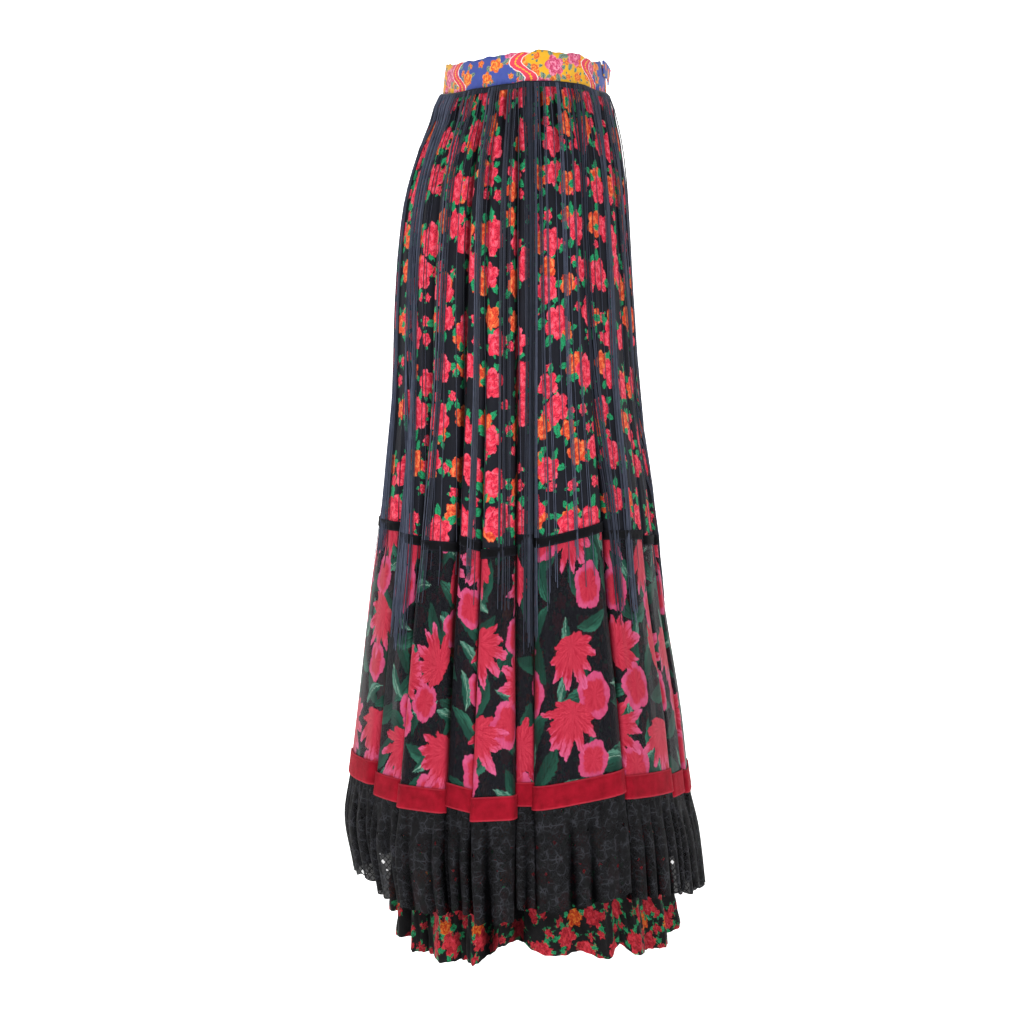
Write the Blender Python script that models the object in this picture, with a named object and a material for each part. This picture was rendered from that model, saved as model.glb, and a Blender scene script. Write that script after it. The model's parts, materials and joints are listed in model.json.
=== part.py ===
"""A tiered maxi skirt as it hangs when worn, with no wearer in it.

Frame: metres, +Z up. The origin is the middle of the waist, at half the waistband's height, where a
wearer holds the skirt up. The front faces -Y and the wearer's right side faces -X.

From the top down the skirt has a waistband with a small lapped end, a gathered upper tier under a long
fringe, a narrow black velvet ribbon over the tier seam, a fuller lower tier with a red velvet ribbon at
its foot, a gathered lace flounce, and a separate underskirt whose hem shows below the lace.

A bearing is an angle round the skirt in degrees: 0 at the back, 90 at the wearer's right side, 180 at
the front and 270 at the left side. Heights are measured from the waist, so they are negative below it.
"""

import math
from collections import namedtuple

import bpy
from mathutils import Vector

MM = 0.001

# Driving heights
BAND_TOP = 0.017
BAND_FOOT = -0.017
TIER_SEAM = -0.510
LOWER_HEM = -0.799
LACE_HEM = -0.905
UNDERSKIRT_TOP = -0.006
UNDERSKIRT_HEM = -0.965
FRINGE_END = -0.615

# Widths of the trims
BLACK_RIBBON_WIDTH = 10 * MM
RED_RIBBON_WIDTH = 25 * MM
FRINGE_HEADER_WIDTH = 6 * MM

# Wall thicknesses and gaps
SEAM_GAP = 0.3 * MM
BAND_WALL = 2.2 * MM
CLOTH_WALL = 1.0 * MM
RIBBON_WALL = 1.0 * MM
LACE_WALL = 1.2 * MM
UNDERSKIRT_WALL = 1.0 * MM

# The outline of the outer cloth over its fold crests: half the width at each side, and the depths in
# front of and behind the waist's middle
Section = namedtuple("Section", "height side front back")
BAND_SECTIONS = (
    Section(0.017, 0.1232, 0.0912, 0.0895),
    Section(-0.017, 0.1252, 0.0936, 0.0928),
)
CLOTH_SECTIONS = (
    Section(-0.0173, 0.1268, 0.0952, 0.0944),
    Section(-0.030, 0.1325, 0.1005, 0.1010),
    Section(-0.050, 0.1405, 0.1060, 0.1080),
    Section(-0.078, 0.1520, 0.1115, 0.1195),
    Section(-0.135, 0.1690, 0.1175, 0.1355),
    Section(-0.192, 0.1790, 0.1215, 0.1430),
    Section(-0.249, 0.1840, 0.1250, 0.1470),
    Section(-0.363, 0.1910, 0.1335, 0.1520),
    Section(-0.477, 0.2010, 0.1495, 0.1630),
    Section(-0.534, 0.2060, 0.1560, 0.1690),
    Section(-0.591, 0.2110, 0.1620, 0.1770),
    Section(-0.706, 0.2210, 0.1805, 0.1895),
    Section(-0.799, 0.2300, 0.1915, 0.2000),
    Section(-0.850, 0.2370, 0.2030, 0.2070),
    Section(-0.905, 0.2440, 0.2100, 0.1975),
)
UNDERSKIRT_SECTIONS = (
    Section(-0.006, 0.1212, 0.0893, 0.0880),
    Section(-0.018, 0.1218, 0.0900, 0.0890),
    Section(-0.050, 0.1290, 0.0965, 0.0965),
    Section(-0.135, 0.1530, 0.1035, 0.1165),
    Section(-0.250, 0.1650, 0.1090, 0.1270),
    Section(-0.450, 0.1710, 0.1220, 0.1340),
    Section(-0.650, 0.1790, 0.1400, 0.1430),
    Section(-0.850, 0.1900, 0.1620, 0.1500),
    Section(-0.965, 0.2010, 0.1800, 0.1560),
)

# The main folds of the outer cloth, in order round it. A fold runs from its start to the next one's.
# gathers is how many small waves it takes in at a seam; crest and valley are how far, in millimetres,
# its middle and its start lie inside the outline at the lower hem; lift raises the cloth at its start.
Fold = namedtuple("Fold", "start gathers crest valley lift")
FOLDS = (
    Fold(5.0, 3, 0, 20, 17),
    Fold(32.0, 1, 3, 15, 0),
    Fold(46.0, 2, 0, 13, -7),
    Fold(64.0, 1, 5, 22, -7),
    Fold(73.5, 2, 0, 11, -8),
    Fold(87.0, 1, 12, 23, -10),
    Fold(94.0, 4, 0, 24, -4),
    Fold(126.0, 3, 2, 22, 11),
    Fold(152.0, 1, 4, 14, -2),
    Fold(166.0, 2, 1, 13, -7),
    Fold(180.0, 3, 0, 18, -6),
    Fold(201.0, 2, 3, 15, 0),
    Fold(216.0, 2, 0, 20, 6),
    Fold(238.0, 1, 6, 22, -3),
    Fold(247.0, 2, 0, 12, -6),
    Fold(262.0, 1, 9, 21, -5),
    Fold(270.0, 3, 0, 22, -2),
    Fold(295.0, 2, 2, 17, 6),
    Fold(310.0, 3, 0, 22, 0),
    Fold(333.0, 2, 3, 15, 10),
)
NEAR_SEAM_FOLD = 6
FAR_SEAM_FOLD = 16
COLUMNS_PER_GATHER = 3
VALLEY_SHARE = 0.4
VALLEY_PINCH = 0.09

# How strong the folds and the gathers are at each height. fold is a share of the depths above, and
# gather is the depth of a small wave in metres.
Fullness = namedtuple("Fullness", "height fold gather")
TIER_FULLNESS = (
    Fullness(-0.0173, 0.00, 2.0 * MM),
    Fullness(-0.050, 0.08, 2.6 * MM),
    Fullness(-0.100, 0.18, 3.0 * MM),
    Fullness(-0.300, 0.34, 2.6 * MM),
    Fullness(-0.510, 0.50, 1.6 * MM),
    Fullness(-0.620, 0.66, 1.4 * MM),
    Fullness(-0.799, 1.00, 0.8 * MM),
)
LACE_FULLNESS = (
    Fullness(-0.799, 1.00, 0.8 * MM),
    Fullness(-0.850, 0.92, 4.5 * MM),
    Fullness(-0.905, 0.80, 8.0 * MM),
)
LIFT_FROM = -0.05
LIFT_WHOLE_AT = -0.45

# How far, in millimetres, the waist seam dips below a level line round the body
Dip = namedtuple("Dip", "bearing millimetres")
WAIST_DIPS = (
    Dip(0, 2.0),
    Dip(40, 8.5),
    Dip(62, 7.0),
    Dip(80, 4.5),
    Dip(92, 1.6),
    Dip(111, 0.8),
    Dip(131, 1.3),
    Dip(146, 4.5),
    Dip(170, 3.0),
    Dip(205, 2.0),
    Dip(235, 6.0),
    Dip(270, 1.0),
    Dip(300, 3.5),
    Dip(330, 5.0),
)
DIP_WHOLE_AT = -0.018
DIP_GONE_AT = -0.120

# How far, in millimetres, the underskirt's hem falls below its mean level
HEM_DIPS = (
    Dip(0, -20),
    Dip(16, -22),
    Dip(30, -2),
    Dip(46, 7),
    Dip(54, 10),
    Dip(68, 8),
    Dip(76, 3),
    Dip(86, -16),
    Dip(92, -16),
    Dip(98, -5),
    Dip(108, -2),
    Dip(120, 4),
    Dip(126, -4),
    Dip(133, 5),
    Dip(142, 11),
    Dip(155, 0),
    Dip(172, -9),
    Dip(192, 3),
    Dip(215, -4),
    Dip(238, 6),
    Dip(262, -6),
    Dip(285, 6),
    Dip(310, -5),
    Dip(335, -2),
)

# Row heights of each walled piece
UPPER_ROWS = (-0.0173, -0.050, -0.100, -0.190, -0.340, TIER_SEAM)
LOWER_TOP = TIER_SEAM - SEAM_GAP
LOWER_ROWS = (
    LOWER_TOP,
    LOWER_TOP - BLACK_RIBBON_WIDTH,
    -0.660,
    LOWER_HEM + RED_RIBBON_WIDTH,
    LOWER_HEM,
)
LACE_ROWS = (LOWER_HEM - SEAM_GAP, -0.832, -0.868, LACE_HEM)
UNDERSKIRT_ROWS = (UNDERSKIRT_TOP, -0.018, -0.110, -0.300, -0.700, UNDERSKIRT_HEM)

# The underskirt's folds, which open towards its hem
UNDERSKIRT_FOLDS = 22
UNDERSKIRT_COLUMNS_PER_FOLD = 4
UNDERSKIRT_FOLD_DEPTH = 17 * MM
UNDERSKIRT_VALLEY_RISE = 4 * MM
UNDERSKIRT_UNEVENNESS = 2.6

# Openwork in the lace: cells of its grid that are pierced, as row and column in a repeat
LACE_REPEAT_COLUMNS = 8
LACE_HOLES = ((0, 2), (1, 0), (1, 5), (2, 3), (2, 6))
HOLE_MARGIN_ACROSS = 0.26
HOLE_MARGIN_DOWN = 0.34
LACE_SCALLOP = 3 * MM

# The fringe: locks that hang from a narrow header, drawn together in bunches
LOCKS = 72
LOCK_WIDTH = 2.6 * MM
LOCK_DEPTH = 1.2 * MM
LOCK_ROWS = (-0.050, -0.100, -0.190, -0.340, TIER_SEAM, FRINGE_END)
LOCK_CLEARANCE = 2.0 * MM
BUNCH_EDGES = (24, 46, 63, 80, 97, 114, 131, 150, 170, 194, 217, 240, 262, 285, 308, 330, 352)
BUNCHING = 0.7
LOCK_END_SPREAD = 16 * MM

WAISTBAND_COLUMNS = 60
BAND_RIPPLE = 0.5 * MM
BAND_RIPPLES = 20
TAB_START = 172.0
TAB_END = 186.0
TAB_FOOT = 0.003
TAB_TOP = 0.020
TAB_FLARE = 9 * MM
TAB_WALL = 1.5 * MM

COLOURS = {
    "waistband": (0.86, 0.55, 0.08),
    "fringe": (0.035, 0.045, 0.085),
    "upper": (0.36, 0.03, 0.04),
    "lower": (0.03, 0.08, 0.06),
    "black_velvet": (0.006, 0.006, 0.008),
    "red_velvet": (0.42, 0.012, 0.03),
    "lace": (0.008, 0.008, 0.010),
    "underskirt": (0.30, 0.03, 0.04),
}


def clear_scene():
    for old in list(bpy.data.objects):
        bpy.data.objects.remove(old)


def cloth_material(name, roughness):
    material = bpy.data.materials.new(name)
    material.use_nodes = True
    shader = material.node_tree.nodes["Principled BSDF"]
    shader.inputs["Base Color"].default_value = (*COLOURS[name], 1.0)
    shader.inputs["Roughness"].default_value = roughness
    shader.inputs["Metallic"].default_value = 0.0
    return material


def read_table(table, height):
    """The table's values at a height, from a smooth curve through its rows."""
    heights = [row[0] for row in table]
    if height >= heights[0]:
        return list(table[0][1:])
    if height <= heights[-1]:
        return list(table[-1][1:])
    low = next(i for i in range(len(table) - 1) if heights[i + 1] <= height)
    span = heights[low + 1] - heights[low]
    t = (height - heights[low]) / span
    values = []
    for column in range(1, len(table[0])):
        here = table[low][column]
        there = table[low + 1][column]
        before = slope(table, low, column)
        after = slope(table, low + 1, column)
        values.append(
            (2 * t**3 - 3 * t**2 + 1) * here
            + (t**3 - 2 * t**2 + t) * span * before
            + (3 * t**2 - 2 * t**3) * there
            + (t**3 - t**2) * span * after
        )
    return values


def slope(table, row, column):
    above = table[max(row - 1, 0)]
    below = table[min(row + 1, len(table) - 1)]
    return (below[column] - above[column]) / (below[0] - above[0])


def on_outline(sections, bearing, height, inset):
    """A point on the outline at a bearing, moved in towards the axis."""
    side, front, back = read_table(sections, height)
    angle = math.radians(bearing)
    depth = back if math.cos(angle) > 0 else front
    x = -side * math.sin(angle)
    y = depth * math.cos(angle)
    reach = math.hypot(x, y)
    return Vector((x, y, 0)) * ((reach - inset) / reach) + Vector((0, 0, height))


def fold_span(index):
    """The start of a fold and the start of the next one, in degrees."""
    fold = FOLDS[index % len(FOLDS)]
    following = FOLDS[(index + 1) % len(FOLDS)]
    width = (following.start - fold.start) % 360
    return fold.start, width


def fold_inset(index, share):
    """How far the cloth lies inside the outline at a share of the way across a fold, in metres."""
    fold = FOLDS[index % len(FOLDS)]
    following = FOLDS[(index + 1) % len(FOLDS)]
    at_start = valley_weight(share)
    at_end = valley_weight(1 - share)
    crest = fold.crest
    return MM * (crest + (fold.valley - crest) * at_start + (following.valley - crest) * at_end)


def valley_weight(share):
    if share >= VALLEY_SHARE:
        return 0.0
    return math.cos(0.5 * math.pi * share / VALLEY_SHARE) ** 2


def lift(bearing, height):
    """How far the cloth is drawn up at a bearing, because it is gathered unevenly at the waist."""
    count = len(FOLDS)
    for index in range(count):
        start, width = fold_span(index)
        share = ((bearing - start) % 360) / width
        if share < 1:
            break
    level = FOLDS[index].lift + (FOLDS[(index + 1) % count].lift - FOLDS[index].lift) * ease(share)
    ramp = (LIFT_FROM - height) / (LIFT_FROM - LIFT_WHOLE_AT)
    return MM * level * ease(min(max(ramp, 0.0), 1.0))


def dip_at(dips, bearing):
    """The depth of a dip at a bearing, from an even curve through its table, in metres."""
    for here, there in zip(dips, dips[1:] + dips[:1]):
        width = (there.bearing - here.bearing) % 360
        share = ((bearing - here.bearing) % 360) / width
        if share < 1:
            break
    return MM * (here.millimetres + (there.millimetres - here.millimetres) * ease(share))


def settled(bearing, height):
    """How far the cloth sits above its nominal height, from its lift and from the waist's dip."""
    fade = (height - DIP_GONE_AT) / (DIP_WHOLE_AT - DIP_GONE_AT)
    dip = dip_at(WAIST_DIPS, bearing) * ease(min(max(fade, 0.0), 1.0))
    return lift(bearing, height) - dip


def ease(share):
    return share * share * (3 - 2 * share)


Column = namedtuple("Column", "bearing fold share")


def panel_columns(first_fold, last_fold):
    """The columns of cloth from the start of one fold to the start of another, going round."""
    count = (last_fold - first_fold) % len(FOLDS)
    columns = []
    for step in range(count):
        index = (first_fold + step) % len(FOLDS)
        start, width = fold_span(index)
        pieces = FOLDS[index].gathers * COLUMNS_PER_GATHER
        for piece in range(pieces):
            share = piece / pieces
            pinched = share - VALLEY_PINCH * math.sin(2 * math.pi * share)
            columns.append(Column(start + width * pinched, index, share))
    end = last_fold % len(FOLDS)
    columns.append(Column(FOLDS[end].start, end, 0.0))
    return columns


def tier_ring(columns, height, fullness):
    """The cloth's outer points at a height, one for each column."""
    fold_strength, gather_depth = read_table(fullness, height)
    ring = []
    for column in columns:
        waves = FOLDS[column.fold].gathers
        gather = gather_depth * 0.5 * (1 + math.cos(2 * math.pi * waves * column.share))
        inset = fold_strength * fold_inset(column.fold, column.share) + gather
        point = on_outline(CLOTH_SECTIONS, column.bearing, height, inset)
        point.z += settled(column.bearing, height)
        ring.append(point)
    return ring


def part_seams(ring):
    """The ring with its two ends drawn back, so that panels stay apart at their seams."""
    first = (ring[1] - ring[0]).normalized() * (0.5 * SEAM_GAP)
    last = (ring[-2] - ring[-1]).normalized() * (0.5 * SEAM_GAP)
    return [ring[0] + first, *ring[1:-1], ring[-1] + last]


def moved_out(ring, distance, closed):
    """The ring's points moved outwards in the level plane by a distance, or inwards if it is negative."""
    count = len(ring)
    moved = []
    for i, point in enumerate(ring):
        before = ring[i - 1] if closed or i > 0 else None
        after = ring[(i + 1) % count] if closed or i < count - 1 else None
        sides = [outward(before, point)] if before is not None else []
        sides += [outward(point, after)] if after is not None else []
        normal = sum(sides, Vector()).normalized()
        mitre = max(normal.dot(sides[0]), 0.6)
        moved.append(point + normal * (distance / mitre))
    return moved


def outward(start, end):
    """The level direction that points out of the skirt from a stretch of a ring."""
    along = end - start
    return Vector((along.y, -along.x, 0)).normalized()


def wall_mesh(name, outer, inner, closed, pierced=()):
    """A wall between outer and inner rings, listed from the top down. pierced lists its open cells."""
    rows = len(outer)
    columns = len(outer[0])
    vertices = [p for ring in outer for p in ring] + [p for ring in inner for p in ring]
    behind = rows * columns
    faces = []
    spans = columns if closed else columns - 1
    for row in range(rows - 1):
        for column in range(spans):
            beside = (column + 1) % columns
            corners = [
                row * columns + column,
                row * columns + beside,
                (row + 1) * columns + beside,
                (row + 1) * columns + column,
            ]
            if (row, column) in pierced:
                pierce(vertices, faces, corners, behind)
            else:
                faces.append(corners[::-1])
                faces.append([behind + c for c in corners])
    for column in range(spans):
        beside = (column + 1) % columns
        foot = (rows - 1) * columns
        faces.append([column, beside, behind + beside, behind + column])
        faces.append([foot + beside, foot + column, behind + foot + column, behind + foot + beside])
    if not closed:
        for row in range(rows - 1):
            start, below = row * columns, (row + 1) * columns
            end, end_below = start + columns - 1, below + columns - 1
            faces.append([start, behind + start, behind + below, below])
            faces.append([end, end_below, behind + end_below, behind + end])
    return add_mesh(name, vertices, faces)


def pierce(vertices, faces, corners, behind):
    """Adds one cell of a wall with a four-sided hole through its middle."""
    fronts = hole_corners([vertices[c] for c in corners])
    backs = hole_corners([vertices[behind + c] for c in corners])
    first = len(vertices)
    vertices += fronts + backs
    for i in range(4):
        k = (i + 1) % 4
        faces.append([corners[k], corners[i], first + i, first + k])
        faces.append([behind + corners[i], behind + corners[k], first + 4 + k, first + 4 + i])
        faces.append([first + k, first + i, first + 4 + i, first + 4 + k])


def hole_corners(corners):
    """The corners of the hole in a cell, from the cell's own corners."""
    near, far = HOLE_MARGIN_ACROSS, 1 - HOLE_MARGIN_ACROSS
    top, foot = HOLE_MARGIN_DOWN, 1 - HOLE_MARGIN_DOWN
    places = ((near, top), (far, top), (far, foot), (near, foot))
    found = []
    for across, down in places:
        upper = corners[0].lerp(corners[1], across)
        lower = corners[3].lerp(corners[2], across)
        found.append(upper.lerp(lower, down))
    return found


def add_mesh(name, vertices, faces):
    mesh = bpy.data.meshes.new(name)
    mesh.from_pydata([tuple(v) for v in vertices], [], faces)
    mesh.validate()
    mesh.shade_smooth()
    mesh.set_sharp_from_angle(angle=math.radians(40))
    piece = bpy.data.objects.new(name, mesh)
    bpy.context.scene.collection.objects.link(piece)
    return piece


def cloth_panel(name, rows, columns, material):
    """A panel of the outer cloth between two seams."""
    outer = [part_seams(tier_ring(columns, height, TIER_FULLNESS)) for height in rows]
    inner = [moved_out(ring, -CLOTH_WALL, closed=False) for ring in outer]
    piece = wall_mesh(name, outer, inner, closed=False)
    piece.data.materials.append(material)


def ribbon(name, heights, columns, material):
    """A velvet ribbon that lies on the lower tier all round, made from its points moved out."""
    rings = [tier_ring(columns, height, TIER_FULLNESS) for height in heights]
    inner = [moved_out(ring, SEAM_GAP, closed=True) for ring in rings]
    outer = [moved_out(ring, SEAM_GAP + RIBBON_WALL, closed=True) for ring in rings]
    piece = wall_mesh(name, outer, inner, closed=True)
    piece.data.materials.append(material)


def lace_rows(columns):
    """The lace's outer rings: gathered at the top, with a shallow scallop along its foot."""
    rings = []
    for height in LACE_ROWS:
        ring = tier_ring(columns, height, LACE_FULLNESS)
        if height == LACE_HEM:
            for point, column in zip(ring, columns):
                waves = FOLDS[column.fold].gathers
                point.z += LACE_SCALLOP * 0.5 * (1 + math.cos(2 * math.pi * waves * column.share))
        rings.append(part_seams(ring))
    return rings


def lace_flounce(name, columns, material):
    outer = lace_rows(columns)
    inner = [moved_out(ring, -LACE_WALL, closed=False) for ring in outer]
    repeats = (len(columns) - 1) // LACE_REPEAT_COLUMNS
    pierced = {
        (row, repeat * LACE_REPEAT_COLUMNS + column)
        for repeat in range(repeats)
        for row, column in LACE_HOLES
    }
    piece = wall_mesh(name, outer, inner, closed=False, pierced=pierced)
    piece.data.materials.append(material)


def underskirt_ring(first_fold, folds, height):
    """The underskirt's outer points at a height, for a run of its folds."""
    opening = (UNDERSKIRT_TOP - height) / (UNDERSKIRT_TOP - UNDERSKIRT_HEM)
    ring = []
    steps = folds * UNDERSKIRT_COLUMNS_PER_FOLD
    for step in range(steps + 1):
        turn = first_fold + step / UNDERSKIRT_COLUMNS_PER_FOLD
        bearing = FOLDS[NEAR_SEAM_FOLD].start + 360 * turn / UNDERSKIRT_FOLDS
        swing = math.sin(math.radians(3 * bearing)) + 0.7 * math.sin(math.radians(7 * bearing))
        uneven = UNDERSKIRT_UNEVENNESS * swing
        valley = 0.5 * (1 + math.cos(2 * math.pi * turn))
        depth = UNDERSKIRT_FOLD_DEPTH * (0.75 + 0.25 * math.sin(math.radians(5 * bearing)))
        inset = depth * opening**1.6 * valley
        point = on_outline(UNDERSKIRT_SECTIONS, bearing + uneven * opening, height, inset)
        if height == UNDERSKIRT_HEM:
            point.z += UNDERSKIRT_VALLEY_RISE * valley - dip_at(HEM_DIPS, bearing)
        elif height >= DIP_WHOLE_AT:
            point.z -= dip_at(WAIST_DIPS, bearing)
        ring.append(point)
    return ring


def underskirt_panel(name, first_fold, material):
    folds = UNDERSKIRT_FOLDS // 2
    outer = [part_seams(underskirt_ring(first_fold, folds, height)) for height in UNDERSKIRT_ROWS]
    inner = [moved_out(ring, -UNDERSKIRT_WALL, closed=False) for ring in outer]
    piece = wall_mesh(name, outer, inner, closed=False)
    piece.data.materials.append(material)


def waistband(material):
    """The waistband is a closed strip that ripples slightly where the gathers pull on it."""
    outer = []
    for section in BAND_SECTIONS:
        ring = []
        for column in range(WAISTBAND_COLUMNS):
            bearing = 360 * column / WAISTBAND_COLUMNS
            ripple = BAND_RIPPLE * math.sin(math.radians(BAND_RIPPLES * bearing))
            point = on_outline(BAND_SECTIONS, bearing, section.height, ripple)
            point.z += settled(bearing, section.height)
            ring.append(point)
        outer.append(ring)
    inner = [moved_out(ring, -BAND_WALL, closed=True) for ring in outer]
    piece = wall_mesh("waistband", outer, inner, closed=True)
    piece.data.materials.append(material)


def waistband_tab(material):
    """The lapped end of the waistband at its fastening, whose upper corner stands away from the band."""
    heights = (TAB_TOP, 0.5 * (TAB_TOP + TAB_FOOT), TAB_FOOT)
    flares = (TAB_FLARE, 0.3 * TAB_FLARE, 0.0)
    outer = []
    for height, flare in zip(heights, flares):
        ring = []
        for step in range(5):
            bearing = TAB_START + (TAB_END - TAB_START) * step / 4
            out = BAND_RIPPLE + SEAM_GAP + TAB_WALL + flare * (0.35 + 0.65 * step / 4)
            point = on_outline(BAND_SECTIONS, bearing, min(height, BAND_TOP), -out)
            point.z = height + settled(bearing, height)
            ring.append(point)
        outer.append(ring)
    inner = [moved_out(ring, -TAB_WALL, closed=False) for ring in outer]
    piece = wall_mesh("waistband_tab", outer, inner, closed=False)
    piece.data.materials.append(material)


def bunched(bearing):
    """Where a strand that starts at a bearing ends up once it is drawn into its bunch."""
    edges = BUNCH_EDGES
    for i, edge in enumerate(edges):
        width = (edges[(i + 1) % len(edges)] - edge) % 360
        share = ((bearing - edge) % 360) / width
        if share < 1:
            drawn = share + BUNCHING * math.sin(2 * math.pi * share) / (2 * math.pi)
            return edge + width * drawn
    return bearing


def lock_section(bearing, height, end, half_width):
    """The four corners of a lock at a height: outer left and right, then inner right and left."""
    reach = (height - LOCK_ROWS[0]) / (FRINGE_END - LOCK_ROWS[0])
    drift = (bunched(bearing) - bearing + 180) % 360 - 180
    place = bearing + drift * ease(min(1.0, 2 * reach))
    centre = on_outline(CLOTH_SECTIONS, place, height, -LOCK_CLEARANCE)
    centre.z += settled(place, height)
    if height == FRINGE_END:
        centre.z += end
    out = Vector((centre.x, centre.y, 0)).normalized()
    across = Vector((out.y, -out.x, 0)) * half_width
    deep = out * LOCK_DEPTH
    return [centre + deep + across, centre + deep - across, centre - across, centre + across]


def fringe(material):
    """Locks of fringe that hang from a header sewn on just under the waistband."""
    top = CLOTH_SECTIONS[0].height
    foot = top - FRINGE_HEADER_WIDTH
    clear = SEAM_GAP
    vertices = []
    for height, extra in ((top, 0.0), (foot, 0.4 * MM)):
        for out in (clear + extra + LOCK_DEPTH, clear + extra):
            for lock in range(LOCKS):
                bearing = 360 * lock / LOCKS
                point = on_outline(CLOTH_SECTIONS, bearing, height, -out)
                point.z += settled(bearing, height)
                vertices.append(point)
    top_outer, top_inner, foot_outer, foot_inner = (k * LOCKS for k in range(4))
    faces = []
    for lock in range(LOCKS):
        beside = (lock + 1) % LOCKS
        faces.append([foot_outer + lock, foot_outer + beside, top_outer + beside, top_outer + lock])
        faces.append([top_inner + lock, top_inner + beside, foot_inner + beside, foot_inner + lock])
        faces.append([top_outer + lock, top_outer + beside, top_inner + beside, top_inner + lock])
        bearing = 360 * (lock + 0.5) / LOCKS
        uneven = math.sin(2.4 * lock) * math.cos(0.9 * lock)
        end = LOCK_END_SPREAD * uneven
        half_width = 0.5 * LOCK_WIDTH * (1 + 0.25 * uneven)
        above = [foot_outer + lock, foot_outer + beside, foot_inner + beside, foot_inner + lock]
        for height in LOCK_ROWS:
            first = len(vertices)
            vertices += lock_section(bearing, height, end, half_width)
            below = [first, first + 1, first + 2, first + 3]
            for i in range(4):
                k = (i + 1) % 4
                faces.append([below[i], below[k], above[k], above[i]])
            above = below
        faces.append(above[::-1])
    piece = add_mesh("fringe", vertices, faces)
    piece.data.materials.append(material)


def build():
    clear_scene()
    waistband_cloth = cloth_material("waistband", 0.7)
    upper_cloth = cloth_material("upper", 0.75)
    lower_cloth = cloth_material("lower", 0.7)
    black_velvet = cloth_material("black_velvet", 0.9)
    red_velvet = cloth_material("red_velvet", 0.85)
    lace = cloth_material("lace", 0.8)
    underskirt_cloth = cloth_material("underskirt", 0.75)

    waistband(waistband_cloth)
    waistband_tab(waistband_cloth)
    fringe(cloth_material("fringe", 0.5))

    front = panel_columns(NEAR_SEAM_FOLD, FAR_SEAM_FOLD)
    back = panel_columns(FAR_SEAM_FOLD, NEAR_SEAM_FOLD)
    all_round = front[:-1] + back[:-1]
    ribbon("black_ribbon", LOWER_ROWS[:2], all_round, black_velvet)
    ribbon("red_ribbon", LOWER_ROWS[-2:], all_round, red_velvet)
    for side, columns, first_fold in (("front", front, 0), ("back", back, UNDERSKIRT_FOLDS // 2)):
        cloth_panel(f"upper_tier_{side}", UPPER_ROWS, columns, upper_cloth)
        cloth_panel(f"lower_tier_{side}", LOWER_ROWS, columns, lower_cloth)
        lace_flounce(f"lace_flounce_{side}", columns, lace)
        underskirt_panel(f"underskirt_{side}", first_fold, underskirt_cloth)


build()
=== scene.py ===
# %% [markdown]
# # A tiered maxi skirt with a long fringe
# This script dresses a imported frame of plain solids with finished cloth. The skirt hangs as it is worn,
# and nobody is in it. From the top down it has a printed waistband, an upper tier in a small rose print
# under a long navy fringe, a sheer lower tier with large flowers, two velvet ribbons, a gathered lace
# flounce, and a separate underskirt whose hem shows below the lace.
#
# The frame is in metres with +Z up. The origin is the middle of the waist, the front faces -Y and the
# wearer's right side faces -X. Nothing here moves a solid: each shell lies on the solid it stands for.

# %% Load the frame
import json
import math
from collections import namedtuple

import bmesh
import bpy
import numpy as np
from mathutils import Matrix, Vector

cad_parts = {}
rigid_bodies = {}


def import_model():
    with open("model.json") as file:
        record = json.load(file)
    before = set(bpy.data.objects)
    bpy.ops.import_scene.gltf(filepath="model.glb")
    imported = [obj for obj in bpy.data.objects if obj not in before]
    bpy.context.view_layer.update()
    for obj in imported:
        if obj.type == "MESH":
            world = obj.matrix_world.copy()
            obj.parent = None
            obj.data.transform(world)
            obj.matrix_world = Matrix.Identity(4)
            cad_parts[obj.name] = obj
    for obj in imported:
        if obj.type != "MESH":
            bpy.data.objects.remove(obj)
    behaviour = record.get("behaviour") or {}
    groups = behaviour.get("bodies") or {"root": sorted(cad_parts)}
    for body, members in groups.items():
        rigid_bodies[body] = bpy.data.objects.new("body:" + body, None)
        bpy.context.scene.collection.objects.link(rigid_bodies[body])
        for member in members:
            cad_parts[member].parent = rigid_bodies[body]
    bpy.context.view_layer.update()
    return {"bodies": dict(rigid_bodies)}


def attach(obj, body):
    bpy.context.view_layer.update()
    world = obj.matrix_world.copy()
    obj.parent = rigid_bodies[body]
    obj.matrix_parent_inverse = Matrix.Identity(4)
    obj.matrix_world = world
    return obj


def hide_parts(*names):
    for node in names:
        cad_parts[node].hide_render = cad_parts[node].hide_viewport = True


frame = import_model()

MM = 0.001
BODY = next(iter(frame["bodies"]))

# %% [markdown]
# ## Driving sizes
# A skirt is drafted from a few levels below the waist. Each level here is the middle of a seam or an
# edge, and a short table gives half the width at the side and the depths in front of and behind the
# waist at each level. A smooth curve through the table's rows then gives every height between them.

# %% Levels, widths and outlines
BAND_TOP = 0.017
BAND_FOOT = -0.017
TIER_TOP = -0.0173
TIER_SEAM = -0.510
LOWER_HEM = -0.799
LACE_HEM = -0.905
UNDERSKIRT_TOP = -0.006
UNDERSKIRT_HEM = -0.965
BLACK_RIBBON_WIDTH = 10 * MM
RED_RIBBON_WIDTH = 25 * MM

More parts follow.
